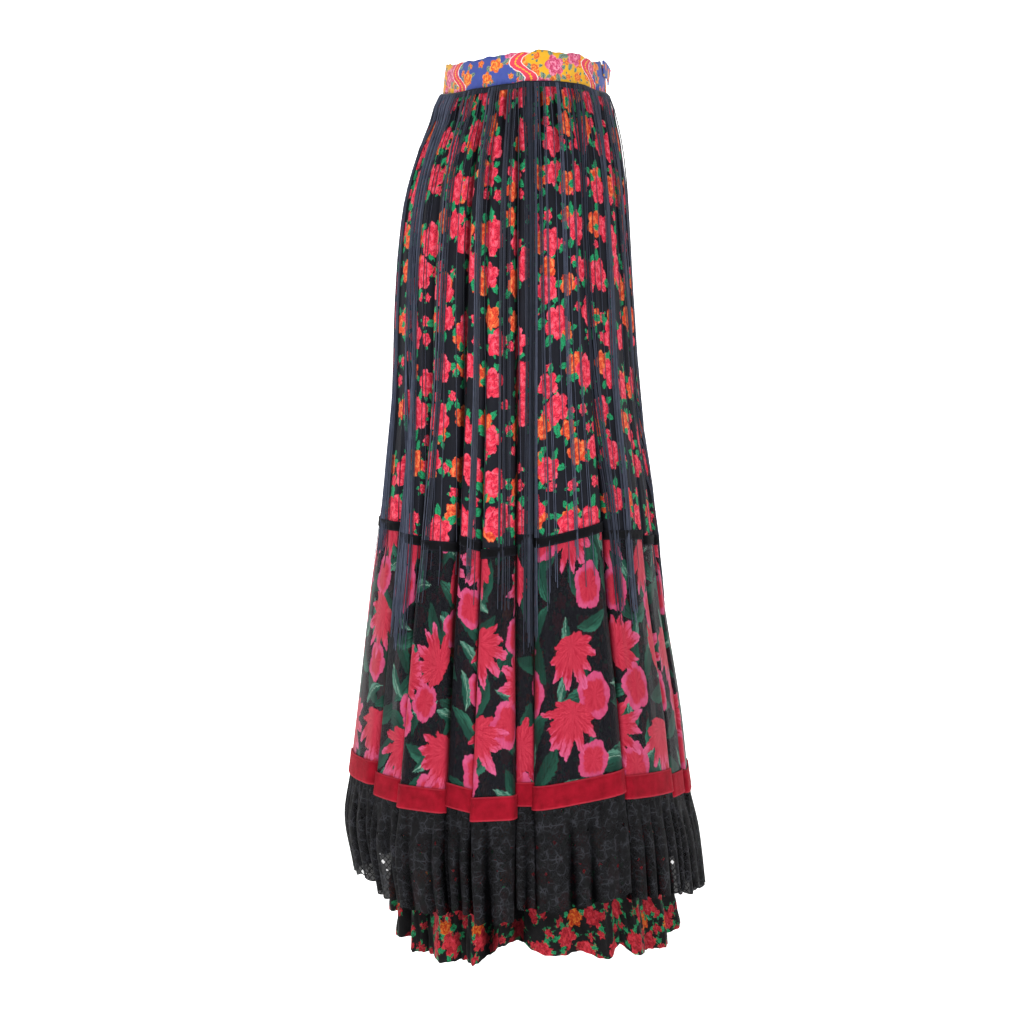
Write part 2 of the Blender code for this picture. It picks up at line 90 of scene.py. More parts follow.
Section = namedtuple("Section", "height side front back")
BAND_SECTIONS = (
    Section(0.017, 0.1232, 0.0912, 0.0895),
    Section(-0.017, 0.1252, 0.0936, 0.0928),
)
CLOTH_SECTIONS = (
    Section(-0.0173, 0.1268, 0.0952, 0.0944),
    Section(-0.030, 0.1325, 0.1005, 0.1010),
    Section(-0.050, 0.1405, 0.1060, 0.1080),
    Section(-0.078, 0.1520, 0.1115, 0.1195),
    Section(-0.135, 0.1690, 0.1175, 0.1355),
    Section(-0.192, 0.1790, 0.1215, 0.1430),
    Section(-0.249, 0.1840, 0.1250, 0.1470),
    Section(-0.363, 0.1910, 0.1335, 0.1520),
    Section(-0.477, 0.2010, 0.1495, 0.1630),
    Section(-0.534, 0.2060, 0.1560, 0.1690),
    Section(-0.591, 0.2110, 0.1620, 0.1770),
    Section(-0.706, 0.2210, 0.1805, 0.1895),
    Section(-0.799, 0.2300, 0.1915, 0.2000),
    Section(-0.850, 0.2370, 0.2030, 0.2070),
    Section(-0.905, 0.2440, 0.2100, 0.1975),
)
UNDERSKIRT_SECTIONS = (
    Section(-0.006, 0.1212, 0.0893, 0.0880),
    Section(-0.018, 0.1218, 0.0900, 0.0890),
    Section(-0.050, 0.1290, 0.0965, 0.0965),
    Section(-0.135, 0.1530, 0.1035, 0.1165),
    Section(-0.250, 0.1650, 0.1090, 0.1270),
    Section(-0.450, 0.1710, 0.1220, 0.1340),
    Section(-0.650, 0.1790, 0.1400, 0.1430),
    Section(-0.850, 0.1900, 0.1620, 0.1500),
    Section(-0.965, 0.2010, 0.1800, 0.1560),
)


def curve_through(table, height):
    """The table's values at each height, from a smooth curve through its rows, which run downwards."""
    rows = np.array(table, float)
    levels, values = rows[:, 0], rows[:, 1:]
    last = len(rows) - 1
    above = np.maximum(np.arange(last + 1) - 1, 0)
    below = np.minimum(np.arange(last + 1) + 1, last)
    slopes = (values[below] - values[above]) / (levels[below] - levels[above])[:, None]
    height = np.clip(np.asarray(height, float), levels[-1], levels[0])
    row = np.clip(np.searchsorted(-levels, -height, side="right") - 1, 0, last - 1)
    span = (levels[row + 1] - levels[row])[..., None]
    t = (height - levels[row])[..., None] / span
    return (
        (2 * t**3 - 3 * t**2 + 1) * values[row]
        + (t**3 - 2 * t**2 + t) * span * slopes[row]
        + (3 * t**2 - 2 * t**3) * values[row + 1]
        + (t**3 - t**2) * span * slopes[row + 1]
    )


def ease(share):
    """Runs smoothly from 0 to 1 as the share does, and stays level beyond both ends."""
    share = np.clip(share, 0.0, 1.0)
    return share * share * (3 - 2 * share)


print("from the band's top to the lowest hem:", round(BAND_TOP - UNDERSKIRT_HEM, 3), "m")

# %% [markdown]
# ## Folds
# Cloth that is gathered at a seam opens into folds lower down. The table lists the main folds in order
# round the skirt, by bearing: 0 degrees at the back, 90 at the wearer's right side, 180 at the front.
# Each has a broad crest, a narrow valley where the next one starts, and a height for its left and right
# sides, so the cloth steps up or down from fold to fold. Two more short tables say how far
# the waist seam dips and how far the underskirt's hem falls below a level line.

# %% The fold tables
Fold = namedtuple("Fold", "start gathers crest valley left right")
FOLDS = (
    Fold(5.0, 3, 0, 20, 16, 12),
    Fold(32.0, 1, 3, 15, 2, -2),
    Fold(46.0, 2, 0, 13, -6, -7),
    Fold(64.0, 1, 5, 22, 1, -6),
    Fold(73.5, 2, 0, 11, -14, -10),
    Fold(87.0, 1, 12, 23, 2, 2),
    Fold(94.0, 4, 0, 24, -2, 14),
    Fold(126.0, 3, 2, 22, 5, 3),
    Fold(152.0, 1, 4, 14, -4, -4),
    Fold(166.0, 2, 1, 13, -6, -6),
    Fold(180.0, 3, 0, 18, -4, 0),
    Fold(201.0, 2, 3, 15, 3, -2),
    Fold(216.0, 2, 0, 20, 7, 3),
    Fold(238.0, 1, 6, 22, -2, -5),
    Fold(247.0, 2, 0, 12, -9, -4),
    Fold(262.0, 1, 9, 21, -1, -1),
    Fold(270.0, 3, 0, 22, -5, 8),
    Fold(295.0, 2, 2, 17, 3, 1),
    Fold(310.0, 3, 0, 22, -4, 6),
    Fold(333.0, 2, 3, 15, 10, 14),
)
NEAR_SEAM_FOLD = 6
FAR_SEAM_FOLD = 16
VALLEY_SHARE = 0.32
STEP_SHARE = 0.13

Fullness = namedtuple("Fullness", "height fold gather")
TIER_FULLNESS = (
    Fullness(-0.0173, 0.00, 2.0 * MM),
    Fullness(-0.050, 0.08, 2.6 * MM),
    Fullness(-0.100, 0.18, 3.0 * MM),
    Fullness(-0.300, 0.34, 2.6 * MM),
    Fullness(-0.510, 0.62, 1.6 * MM),
    Fullness(-0.620, 0.86, 1.4 * MM),
    Fullness(-0.799, 1.30, 0.8 * MM),
)
LACE_FULLNESS = (
    Fullness(-0.799, 1.30, 0.8 * MM),
    Fullness(-0.850, 1.15, 1.2 * MM),
    Fullness(-0.905, 1.00, 1.6 * MM),
)
LIFT_FROM = -0.05
LIFT_WHOLE_AT = -0.45

Dip = namedtuple("Dip", "bearing millimetres")
WAIST_DIPS = (
    Dip(0, 2.0),
    Dip(40, 8.5),
    Dip(62, 7.0),
    Dip(80, 4.5),
    Dip(92, 1.6),
    Dip(111, 0.8),
    Dip(131, 1.3),
    Dip(146, 4.5),
    Dip(170, 3.0),
    Dip(205, 2.0),
    Dip(235, 6.0),
    Dip(270, 1.0),
    Dip(300, 3.5),
    Dip(330, 5.0),
)
DIP_WHOLE_AT = -0.018
DIP_GONE_AT = -0.120
HEM_DIPS = (
    Dip(0, -20),
    Dip(10, -22),
    Dip(21, -3),
    Dip(34, 5),
    Dip(44, 8),
    Dip(54, 10),
    Dip(68, 8),
    Dip(76, 3),
    Dip(86, -16),
    Dip(92, -16),
    Dip(98, -5),
    Dip(108, -2),
    Dip(120, 4),
    Dip(126, -4),
    Dip(133, 5),
    Dip(142, 11),
    Dip(152, 6),
    Dip(161, 4),
    Dip(172, -12),
    Dip(192, 3),
    Dip(215, -4),
    Dip(238, 6),
    Dip(262, -6),
    Dip(285, 6),
    Dip(310, -5),
    Dip(335, -2),
)
print("main folds:", len(FOLDS))

# %% [markdown]
# Everything that lies on the skirt asks the same few questions: which fold a bearing is in, how far that
# fold holds the cloth up, and where the outline runs. Each function below answers one of them for a whole
# grid of points at once, so that the tiers, the ribbons and the cords all agree.

# %% Where the cloth is
def span_of(starts, bearing):
    """Which stretch each bearing falls in, and how far along it, for stretches that go all round."""
    edges = np.array(starts, float) - starts[0]
    turned = (np.asarray(bearing, float) - starts[0]) % 360
    index = np.searchsorted(edges, turned, side="right") - 1
    width = np.diff(np.append(edges, 360.0))[index]
    return index, (turned - edges[index]) / width


def round_the_body(table, bearing):
    """A dip at each bearing, in metres, eased from each row to the next and from the last to the first."""
    index, share = span_of([row.bearing for row in table], bearing)
    values = np.array([row.millimetres for row in table], float)
    return MM * (values[index] + (np.roll(values, -1)[index] - values[index]) * ease(share))


def fold_lift(place):
    """How far a fold holds the cloth up. place counts folds, and the step to the next fold is hidden
    in the valley between them."""
    fold = np.floor(place).astype(int) % len(FOLDS)
    share = place - np.floor(place)
    left = np.array([f.left for f in FOLDS], float)
    right = np.array([f.right for f in FOLDS], float)
    before, after = np.roll(right, 1)[fold], np.roll(left, -1)[fold]
    across = left[fold] + (right[fold] - left[fold]) * ease((share - STEP_SHARE) / (1 - 2 * STEP_SHARE))
    into = before + (left[fold] - before) * ease(0.5 + 0.5 * share / STEP_SHARE)
    away = right[fold] + (after - right[fold]) * ease(0.5 * (share - 1 + STEP_SHARE) / STEP_SHARE)
    return MM * np.where(share < STEP_SHARE, into, np.where(share > 1 - STEP_SHARE, away, across))


def settled(bearing, height, place=None):
    """How far the cloth sits above its nominal height, from its folds' lift and from the waist's dip."""
    if place is None:
        fold, share = span_of([fold.start for fold in FOLDS], bearing)
        place = fold + share
    lift = fold_lift(place) * ease((LIFT_FROM - height) / (LIFT_FROM - LIFT_WHOLE_AT))
    dip = round_the_body(WAIST_DIPS, bearing)
    return lift - dip * ease((height - DIP_GONE_AT) / (DIP_WHOLE_AT - DIP_GONE_AT))


def on_outline(sections, bearing, height, inset):
    """Points on the outline at these bearings and heights, moved in towards the axis. z is left nominal."""
    side, front, back = np.moveaxis(curve_through(sections, height), -1, 0)
    angle = np.radians(bearing)
    x = -side * np.sin(angle)
    y = np.where(np.cos(angle) > 0, back, front) * np.cos(angle)
    reach = np.hypot(x, y)
    scale = (reach - inset) / reach
    return np.stack(np.broadcast_arrays(x * scale, y * scale, height), axis=-1)


# %% [markdown]
# ## Columns and gathers
# A panel is a grid of points: its columns follow the folds round the body, and its rows run from one
# seam down to the next. The main folds alone look like moulded plastic. Real gathers are small, uneven
# and crowded at the seam, and each fades out at its own length. They are made here from a few sums of
# sines whose phases wander, so their spacing, depth and length all vary, and they still meet all round.

# %% Columns, gathers and the tier surface
COLUMNS_PER_DEGREE = 1.9


def fold_columns(first_fold, last_fold, per_degree=COLUMNS_PER_DEGREE):
    """The fold and the share across it for each column, from the start of one fold to another's."""
    count = (last_fold - first_fold) % len(FOLDS) or len(FOLDS)
    folds, shares = [], []
    for step in range(count):
        index = (first_fold + step) % len(FOLDS)
        width = (FOLDS[(index + 1) % len(FOLDS)].start - FOLDS[index].start) % 360
        pieces = max(6, round(width * per_degree))
        folds += [index] * pieces
        shares += [piece / pieces for piece in range(pieces)]
    return np.array(folds + [last_fold % len(FOLDS)]), np.array(shares + [0.0])


def wander(turn, seed, amount, lowest=2, terms=6):
    """A smooth uneven value all round the body, from a few sines of whole frequencies."""
    random = np.random.default_rng(seed)
    total = np.zeros_like(turn)
    for term in range(terms):
        frequency = lowest + int(random.integers(1, 4)) + 3 * term
        total += np.sin(2 * math.pi * (frequency * turn + random.random())) / (1 + 0.5 * term)
    return amount * total


def gathers(bearing, drop, count, depth, reach, seed, sharpness=1.6):
    """The depth of small uneven gathers that start at a seam and fade out below it."""
    turn = bearing / 360.0
    phase = count * turn + wander(turn, seed, 0.5) + 0.35 * np.sin(9 * drop + wander(turn, seed + 1, 1.0))
    ridge = (0.5 + 0.5 * np.cos(2 * math.pi * phase)) ** sharpness
    strength = np.clip(0.65 + wander(turn, seed + 2, 0.22, 9), 0.15, 1.2)
    length = reach * np.exp(wander(turn, seed + 3, 0.35, 11))
    return depth * strength * ridge * np.exp(-((drop / length) ** 1.6))


def fold_shape(fold, share, pinch):
    """The bearing of each column, the depth of the main folds there, and its place in a small gather."""
    starts = np.array([f.start for f in FOLDS])
    widths = np.diff(np.append(starts, starts[0] + 360.0))
    crest = np.array([f.crest for f in FOLDS], float)[fold]
    valleys = np.array([f.valley for f in FOLDS], float)
    bearing = starts[fold] + widths[fold] * (share - pinch * np.sin(2 * math.pi * share))
    at_start = np.cos(0.5 * math.pi * np.clip(share / VALLEY_SHARE, 0, 1)) ** 2
    at_end = np.cos(0.5 * math.pi * np.clip((1 - share) / VALLEY_SHARE, 0, 1)) ** 2
    start_depth = (valleys[fold] - crest) * at_start
    end_depth = (np.roll(valleys, -1)[fold] - crest) * at_end
    wave = np.array([f.gathers for f in FOLDS])[fold] * share
    return bearing, MM * (crest + start_depth + end_depth), wave


def tier_surface(columns, heights, span, fullness, pinch, extra):
    """The cloth's points over a grid. span is where this cloth starts and ends, pinch grows down that
    span, and extra adds its small gathers."""
    fold, share = columns
    level = np.asarray(heights, float)[:, None] + 0.0 * share[None, :]
    down = (span[0] - level) / (span[0] - span[1])
    bearing, main, wave = fold_shape(fold, share[None, :], pinch[0] + (pinch[1] - pinch[0]) * down)
    strength, gather = np.moveaxis(curve_through(fullness, level), -1, 0)
    inset = strength * main + gather * 0.5 * (1 + np.cos(2 * math.pi * wave))
    inset = inset + extra(bearing, span[0] - level)
    points = on_outline(CLOTH_SECTIONS, bearing, level, inset)
    points[..., 2] += settled(bearing, level, (fold + share)[None, :])
    return points


print("columns all round:", len(fold_columns(NEAR_SEAM_FOLD, NEAR_SEAM_FOLD)[0]))

# %% [markdown]
# ## From points to cloth
# A grid of points becomes a mesh of quads that face outwards. Its UV map is the flat cloth in metres:
# U runs along the cut width, measured on the row where the cloth lies widest, and V runs down from the
# top edge. The prints are drawn in these coordinates, so they squeeze together at a gathered seam and
# run into the folds as a real print does.
#
# Little light gets down between two folds. So each point also keeps how deep it lies below a surface that
# bridges the folds round it, once over a wide stretch and once over a narrow one, and the materials
# darken the cloth by it.

# %% Sheet meshes
WIDE_HOLLOW = (7.0, 14 * MM)
NARROW_HOLLOW = (3.2, 6 * MM)


def run_along(row):
    """The distance along a row of points, from its first one."""
    steps = np.linalg.norm(np.diff(row, axis=0), axis=1)
    return np.concatenate([[0.0], np.cumsum(steps)])


def hollows(points, degrees, deepest):
    """How deep each point lies, from 0 to 1, below a surface that bridges this many degrees of folds."""
    reach = np.hypot(points[..., 0], points[..., 1])
    turn = np.degrees(np.unwrap(np.arctan2(points[..., 1], points[..., 0]), axis=1))
    columns = max(1, round(degrees * reach.shape[1] / max(1.0, np.ptp(turn))))

    def around(values):
        padded = np.pad(values, ((0, 0), (columns, columns)), mode="edge")
        return np.lib.stride_tricks.sliding_window_view(padded, 2 * columns + 1, axis=1)

    bridged = around(around(reach).max(axis=-1)).min(axis=-1)
    return np.clip((bridged - reach) / deepest, 0.0, 1.0)


def add_piece(name, points, across, down, material, kept=None, ring=False, tube=False):
    """A mesh object over a grid of points, with its flat cloth as the UV map. A ring joins its last
    column to its first, and a tube joins its last row to its first."""
    rows, columns = points.shape[:2]
    grid = np.arange(rows * columns).reshape(rows, columns)
    joined = grid.copy()
    if ring:
        joined[:, -1] = joined[:, 0]
    if tube:
        joined[-1] = joined[0]

    def quads_of(index):
        quads = np.stack([index[:-1, :-1], index[1:, :-1], index[1:, 1:], index[:-1, 1:]], axis=-1)
        return quads.reshape(-1, 4) if kept is None else quads[kept]

    used, quads = np.unique(quads_of(joined), return_inverse=True)
    mesh = bpy.data.meshes.new(name)
    mesh.from_pydata(points.reshape(-1, 3)[used].tolist(), [], quads.reshape(-1, 4).tolist())
    flat = np.stack(np.broadcast_arrays(across[None, :], down[:, None]), axis=-1).reshape(-1, 2)
    uv = mesh.uv_layers.new(name="flat_cloth")
    uv.data.foreach_set("uv", flat[quads_of(grid).reshape(-1)].astype(np.float32).reshape(-1))
    depth = mesh.attributes.new("hollow", "FLOAT", "POINT")
    sunken = np.maximum(hollows(points, *WIDE_HOLLOW), hollows(points, *NARROW_HOLLOW))
    depth.data.foreach_set("value", sunken.reshape(-1)[used].astype(np.float32))
    mesh.shade_smooth()
    mesh.materials.append(material)
    piece = bpy.data.objects.new(name, mesh)
    bpy.context.scene.collection.objects.link(piece)
    return piece


def levels_between(top, foot, count, crowd=1.0):
    """Heights from a top edge to a foot, closer together near the top where crowd is over 1."""
    return top + (foot - top) * np.linspace(0, 1, count) ** crowd


def outward(points, ring=False):
    """The direction out of the cloth at each point of a grid."""
    across = np.gradient(points, axis=1)
    if ring:
        across[:, 0] = across[:, -1] = points[:, 1] - points[:, -2]
    normal = np.cross(np.gradient(points, axis=0), across)
    return normal / np.linalg.norm(normal, axis=-1, keepdims=True)


def add_strip(name, outer, wall, width, material, ring=True):
    """A closed strip with rounded edges, from the points of its outer face, such as a band or ribbon."""
    inner = outer - wall * outward(outer, ring)
    rise = 0.4 * wall * np.array([0.0, 0.0, 1.0])
    foot_edge = 0.5 * (outer[-1:] + inner[-1:]) - rise
    top_edge = 0.5 * (outer[:1] + inner[:1]) + rise
    section = np.concatenate([outer, foot_edge, inner[::-1], top_edge, outer[:1]])
    face = np.linspace(0.0, width, len(outer))
    down = np.concatenate([face, [width + 0.5 * wall], face[::-1], [-0.5 * wall], [0.0]])
    across = run_along(outer[len(outer) // 2])
    piece = add_piece(name, section, across, down, material, ring=ring, tube=True)
    if not ring:
        close_ends(piece)
    return piece, across[-1]


def close_ends(piece):
    """Closes the open ends of a strip that doesn't go all round."""
    mesh = bmesh.new()
    mesh.from_mesh(piece.data)
    bmesh.ops.holes_fill(mesh, edges=[edge for edge in mesh.edges if edge.is_boundary], sides=0)
    mesh.to_mesh(piece.data)
    mesh.free()


def declare(piece, nodes, flat=None):
    """Attaches a piece to the body it rides on, hides the solids it stands for, and prints its face count
    and, where given, the size of its flat cloth.
    """
    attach(piece, BODY)
    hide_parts(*nodes)
    print(f"{piece.name}: {len(piece.data.polygons)} faces", "" if flat is None else f"cut {flat}")


# %% [markdown]
# ## Colour and nodes
# Dyers and designers name colours as they look on a screen, in sRGB. Shaders need linear light, so one
# function turns the first into the second. One more adds any shader node: it sets the node's properties,
# fills its inputs in order with numbers or links, and hands back its first output.

# %% Colour and node helpers
def linear(hex_colour):
    """An sRGB hex colour as linear red, green, blue and alpha."""
    values = [int(hex_colour[i : i + 2], 16) / 255 for i in (1, 3, 5)]
    return (*[v / 12.92 if v <= 0.04045 else ((v + 0.055) / 1.055) ** 2.4 for v in values], 1.0)


def add(tree, kind, *inputs, **settings):
    """Adds a node with its settings, fills its inputs in order, and returns its first output."""
    node = tree.nodes.new("ShaderNode" + kind)
    for name, value in settings.items():
        setattr(node, name, value)
    for socket, value in zip(node.inputs, inputs):
        if isinstance(value, bpy.types.NodeSocket):
            tree.links.new(value, socket)
        elif value is not None:
            socket.default_value = value
    return node.outputs[0]


def new_material(name, finish):
    """A material with one Principled shader, whose sockets take the values in finish."""
    material = bpy.data.materials.new(name)
    material.use_nodes = True
    tree = material.node_tree
    shader = tree.nodes["Principled BSDF"]
    for socket, value in finish.items():
        shader.inputs[socket].default_value = value
    return material, tree, shader


# %% [markdown]
# ## A rose for a small print
# The upper tier and the underskirt are viscose crepe with a screen-printed rose sprig. A printer repeats
# a few sprigs over the cloth. Here a Voronoi texture scatters them: its cells give each flower a centre
# and a random number, and a little polar geometry round that centre draws five petals, a swirled heart
# and some leaves. Each layer of flowers is laid over the last, as screens are printed one by one. Cell
# sizes are in millimetres of flat cloth.

# %% Flower geometry in a Voronoi cell
def cell_space(tree, place, spacing, shift, randomness=0.7):
    """Local millimetres round each cell's centre, and the cell's random colour as separate numbers."""
    moved = add(tree, "VectorMath", place, (shift, 1.7 * shift, 0.0), operation="ADD")
    scaled = add(tree, "VectorMath", moved, None, None, 1.0 / spacing, operation="SCALE")
    voronoi = add(tree, "TexVoronoi", scaled, None, 1.0, voronoi_dimensions="2D", feature="F1").node
    voronoi.inputs["Randomness"].default_value = randomness
    centre = voronoi.outputs["Position"]
    away = add(tree, "VectorMath", scaled, centre, operation="SUBTRACT")
    local = add(tree, "VectorMath", away, None, None, spacing, operation="SCALE")
    numbers = add(tree, "SeparateXYZ", voronoi.outputs["Color"]).node
    return local, numbers.outputs[0], numbers.outputs[1], numbers.outputs[2]


def turned(tree, local, share):
    """The local place turned by a share of a full turn, as its X and Y."""
    angle = add(tree, "Math", share, 2 * math.pi, operation="MULTIPLY")
    rotated = add(tree, "VectorRotate", local, None, None, angle, rotation_type="Z_AXIS")
    parts = add(tree, "SeparateXYZ", rotated).node
    return rotated, parts.outputs[0], parts.outputs[1]


def polar(tree, local):
    """The distance from the middle, and the direction as a share of a turn."""
    reach = add(tree, "VectorMath", local, operation="LENGTH").node.outputs["Value"]
    turn = add(tree, "TexGradient", local, gradient_type="RADIAL").node.outputs["Fac"]
    return reach, turn


def lobes(tree, turn, count, low, high):
    """An outline's radius that swells into rounded petals between low and high."""
    wave = add(tree, "Math", turn, count * math.pi, operation="MULTIPLY")
    wave = add(tree, "Math", wave, operation="SINE")
    wave = add(tree, "Math", wave, operation="ABSOLUTE")
    return add(tree, "Math", wave, high - low, low, operation="MULTIPLY_ADD")


def inside(tree, value, limit, soft=0.35):
    """1 where the value is under the limit and 0 over it, with a soft edge."""
    gap = add(tree, "Math", limit, value, operation="SUBTRACT")
    return add(tree, "MapRange", gap, -soft, soft, 0.0, 1.0)


def leaf_ring(tree, reach, turn, chance, radius, length, width, count):
    """Leaves that point out all round a flower, some of them missing, and the shine along each."""
    around = add(tree, "Math", turn, float(count), operation="MULTIPLY")
    sector = add(tree, "Math", around, operation="FLOOR")
    slice_place = add(tree, "Math", around, sector, operation="SUBTRACT")
    angle = add(tree, "Math", slice_place, 0.5, operation="SUBTRACT")
    angle = add(tree, "Math", angle, 2 * math.pi / count, operation="MULTIPLY")
    along = add(tree, "Math", reach, add(tree, "Math", angle, operation="COSINE"), operation="MULTIPLY")
    aside = add(tree, "Math", reach, add(tree, "Math", angle, operation="SINE"), operation="MULTIPLY")
    aside = add(tree, "Math", aside, operation="ABSOLUTE")
    along = add(tree, "Math", along, radius, operation="SUBTRACT")
    ratio = add(tree, "Math", along, 0.5 * length, operation="DIVIDE")
    square = add(tree, "Math", ratio, ratio, operation="MULTIPLY")
    half = add(tree, "Math", square, -0.5 * width, 0.5 * width, operation="MULTIPLY_ADD")
    leaf = inside(tree, aside, half, 0.25)
    key = add(tree, "Math", sector, 7.31, chance, operation="MULTIPLY_ADD")
    drawn = add(tree, "TexWhiteNoise", None, key, noise_dimensions="1D").node.outputs["Value"]
    present = add(tree, "Math", drawn, 0.42, operation="GREATER_THAN")
    shine = add(tree, "Math", aside, 2.6, along, operation="MULTIPLY_ADD")
    shine = add(tree, "Math", add(tree, "Math", shine, 2.2, operation="MULTIPLY"), operation="SINE")
    return add(tree, "Math", leaf, present, operation="MULTIPLY"), shine, aside


def rose_layer(tree, under, place, spacing, shift, size, palette, share, randomness=0.65):
    """Lays one scatter of roses and their leaves over a colour, and returns the new colour."""
    local, chance, second, third = cell_space(tree, place, spacing, shift, randomness)
    local, _, _ = turned(tree, local, chance)
    reach, turn = polar(tree, local)
    grown = add(tree, "Math", third, 0.35 * size, 0.82 * size, operation="MULTIPLY_ADD")
    reach = add(tree, "Math", add(tree, "Math", reach, size, operation="MULTIPLY"), grown, operation="DIVIDE")

    leaf, shine, aside = leaf_ring(
        tree, reach, turn, add(tree, "Math", chance, 97.0, operation="MULTIPLY"),
        1.22 * size, 0.95 * size, 0.52 * size, 6,
    )
    leaf_colour = add(tree, "MixRGB", add(tree, "MapRange", shine, 0.1, 0.8, 0.0, 1.0),
                      linear(palette["leaf"]), linear(palette["leaf_light"]))
    rib = inside(tree, aside, 0.28, 0.2)
    leaf_colour = add(tree, "MixRGB", rib, leaf_colour, linear(palette["leaf_dark"]))

    outer = add(tree, "Math", lobes(tree, turn, 5, 0.74, 1.06), size, operation="MULTIPLY")
    flower = inside(tree, reach, outer, 0.3)
    inner_turn = add(tree, "Math", turn, 0.13, operation="ADD")
    inner = add(tree, "Math", lobes(tree, inner_turn, 4, 0.42, 0.66), size, operation="MULTIPLY")
    inner_edge = add(tree, "Math", reach, inner, operation="SUBTRACT")
    inner_edge = add(tree, "Math", inner_edge, operation="ABSOLUTE")
    swirl = add(tree, "Math", turn, 4 * math.pi, operation="MULTIPLY")
    swirl = add(tree, "Math", reach, 9.0 / size, swirl, operation="MULTIPLY_ADD")
    blot = add(tree, "TexNoise", place, None, 0.30, 2.0, 0.6, noise_dimensions="2D").node.outputs["Fac"]
    swirl = add(tree, "Math", blot, 7.0, swirl, operation="MULTIPLY_ADD")
    swirl = add(tree, "Math", swirl, operation="SINE")
    tone = add(tree, "MapRange", blot, 0.35, 0.65, 0.0, 1.0)
    petal = add(tree, "MixRGB", tone, linear(palette["petal"]), linear(palette["petal_warm"]))
    light = add(tree, "MapRange", swirl, 0.55, 0.95, 0.0, palette["light_share"])
    petal = add(tree, "MixRGB", light, petal, linear(palette["petal_light"]))
    shade = add(tree, "MapRange", swirl, -0.65, -0.98, 0.0, 0.75)
    petal = add(tree, "MixRGB", shade, petal, linear(palette["petal_deep"]))
    petal = add(tree, "MixRGB", inside(tree, inner_edge, 0.32, 0.3), petal, linear(palette["petal_deep"]))

    here = add(tree, "Math", second, share, operation="LESS_THAN")
    leaf = add(tree, "Math", leaf, here, operation="MULTIPLY")
    flower = add(tree, "Math", flower, here, operation="MULTIPLY")
    colour = add(tree, "MixRGB", leaf, under, leaf_colour)
    return add(tree, "MixRGB", flower, colour, petal)


# %% [markdown]
# ## Printed crepe
# Crepe is woven from tightly twisted yarn, which gives it a fine pebbled surface and a soft, dry sheen
# with no gloss. The pebble is drawn at 1.1 mm, about twice its real size, so that it still shows from a
# step away. The ground is a slightly blue black, and the print sits in it with no edge of its own. The
# underskirt has the same print with more red in it, and its cloth is crinkled.

# %% The rose print on crepe
PINK_ROSE = {
    "petal": "#E62B4A", "petal_warm": "#F5485C", "petal_light": "#FA7F96", "petal_deep": "#B01533",
    "light_share": 0.5, "leaf": "#14804F", "leaf_light": "#38B67C", "leaf_dark": "#0A4A31",
}
ORANGE_ROSE = dict(
    PINK_ROSE, petal="#E84A30", petal_warm="#F06338", petal_light="#FCA462", petal_deep="#BC2A22",
    light_share=0.6,
)
RED_ROSE = {
    "petal": "#A5182A", "petal_warm": "#BC2C34", "petal_light": "#CB4C5B", "petal_deep": "#650816",
    "light_share": 0.35, "leaf": "#157044", "leaf_light": "#2D9C65", "leaf_dark": "#08301F",
}
DULL_ORANGE_ROSE = dict(
    ORANGE_ROSE, petal="#C23A16", petal_warm="#C95A1A", petal_light="#DD9038", petal_deep="#932012",
)
CREPE_PEBBLE_MM = 1.1
CLOTH_SHINE = 0.15
# The colour of the painted shade at the bottom of a hollow between folds.
HOLLOW_SHADE = "#030304"


def flat_place(tree):
    """The flat cloth's coordinates in millimetres."""
    uv = add(tree, "UVMap", uv_map="flat_cloth")
    return add(tree, "VectorMath", uv, None, None, 1.0 / MM, operation="SCALE")


def printed_place(tree, waver):
    """The flat cloth's coordinates, plain and then with the slight waver of a printed edge."""
    place = flat_place(tree)
    noise = add(tree, "TexNoise", place, None, 0.22, 3.0, 0.6, noise_dimensions="2D").node.outputs["Color"]
    noise = add(tree, "VectorMath", noise, (0.5, 0.5, 0.5), operation="SUBTRACT")
    noise = add(tree, "VectorMath", noise, None, None, 4.0 * waver, operation="SCALE")
    return place, add(tree, "VectorMath", place, noise, operation="ADD")


def paint_hollow_shade(tree, shader, colour, amount):
    """Gives the shader a colour with painted shade in the hollows between folds, where little light gets in:
    darker there, and with less shine.
    """
    # Painted shade: how deep each point lies between the folds darkens its colour and lowers its shine.
    hollow = add(tree, "Attribute", attribute_name="hollow").node.outputs["Fac"]
    hollow = add(tree, "MapRange", hollow, 0.06, 0.75, 0.0, 1.0)
    hollow = add(tree, "Math", hollow, amount, operation="MULTIPLY")
    tree.links.new(add(tree, "MixRGB", hollow, colour, linear(HOLLOW_SHADE)), shader.inputs["Base Color"])
    shine = add(tree, "Math", hollow, -CLOTH_SHINE, CLOTH_SHINE, operation="MULTIPLY_ADD")
    tree.links.new(shine, shader.inputs["Specular IOR Level"])


Scatter = namedtuple("Scatter", "spacing shift size palette share")


def crepe_material(name, ground, scatters, crinkle, waver):
    """Crepe printed with layers of roses over a two-toned ground."""
    material, tree, shader = new_material(name, {"Roughness": 0.72, "Sheen Weight": 0.02})
    place, wavering = printed_place(tree, waver)
    ground_noise = add(tree, "TexNoise", place, None, 0.03, 2.0).node.outputs["Fac"]
    colour = add(tree, "MixRGB", ground_noise, linear(ground[0]), linear(ground[1]))
    for scatter in scatters:
        colour = rose_layer(tree, colour, wavering, *scatter)
    # Painted shade in the hollows between folds.
    paint_hollow_shade(tree, shader, colour, 0.85)
    pebble = add(tree, "TexNoise", place, None, 1.0 / CREPE_PEBBLE_MM, 2.0, 0.7).node.outputs["Fac"]
    creases = add(tree, "TexNoise", place, None, 0.08, 4.0, 0.65).node.outputs["Fac"]
    height = add(tree, "Math", creases, crinkle, pebble, operation="MULTIPLY_ADD")
    tree.links.new(add(tree, "Bump", 0.35, 0.5 * MM, 1.0, height), shader.inputs["Normal"])
    return material


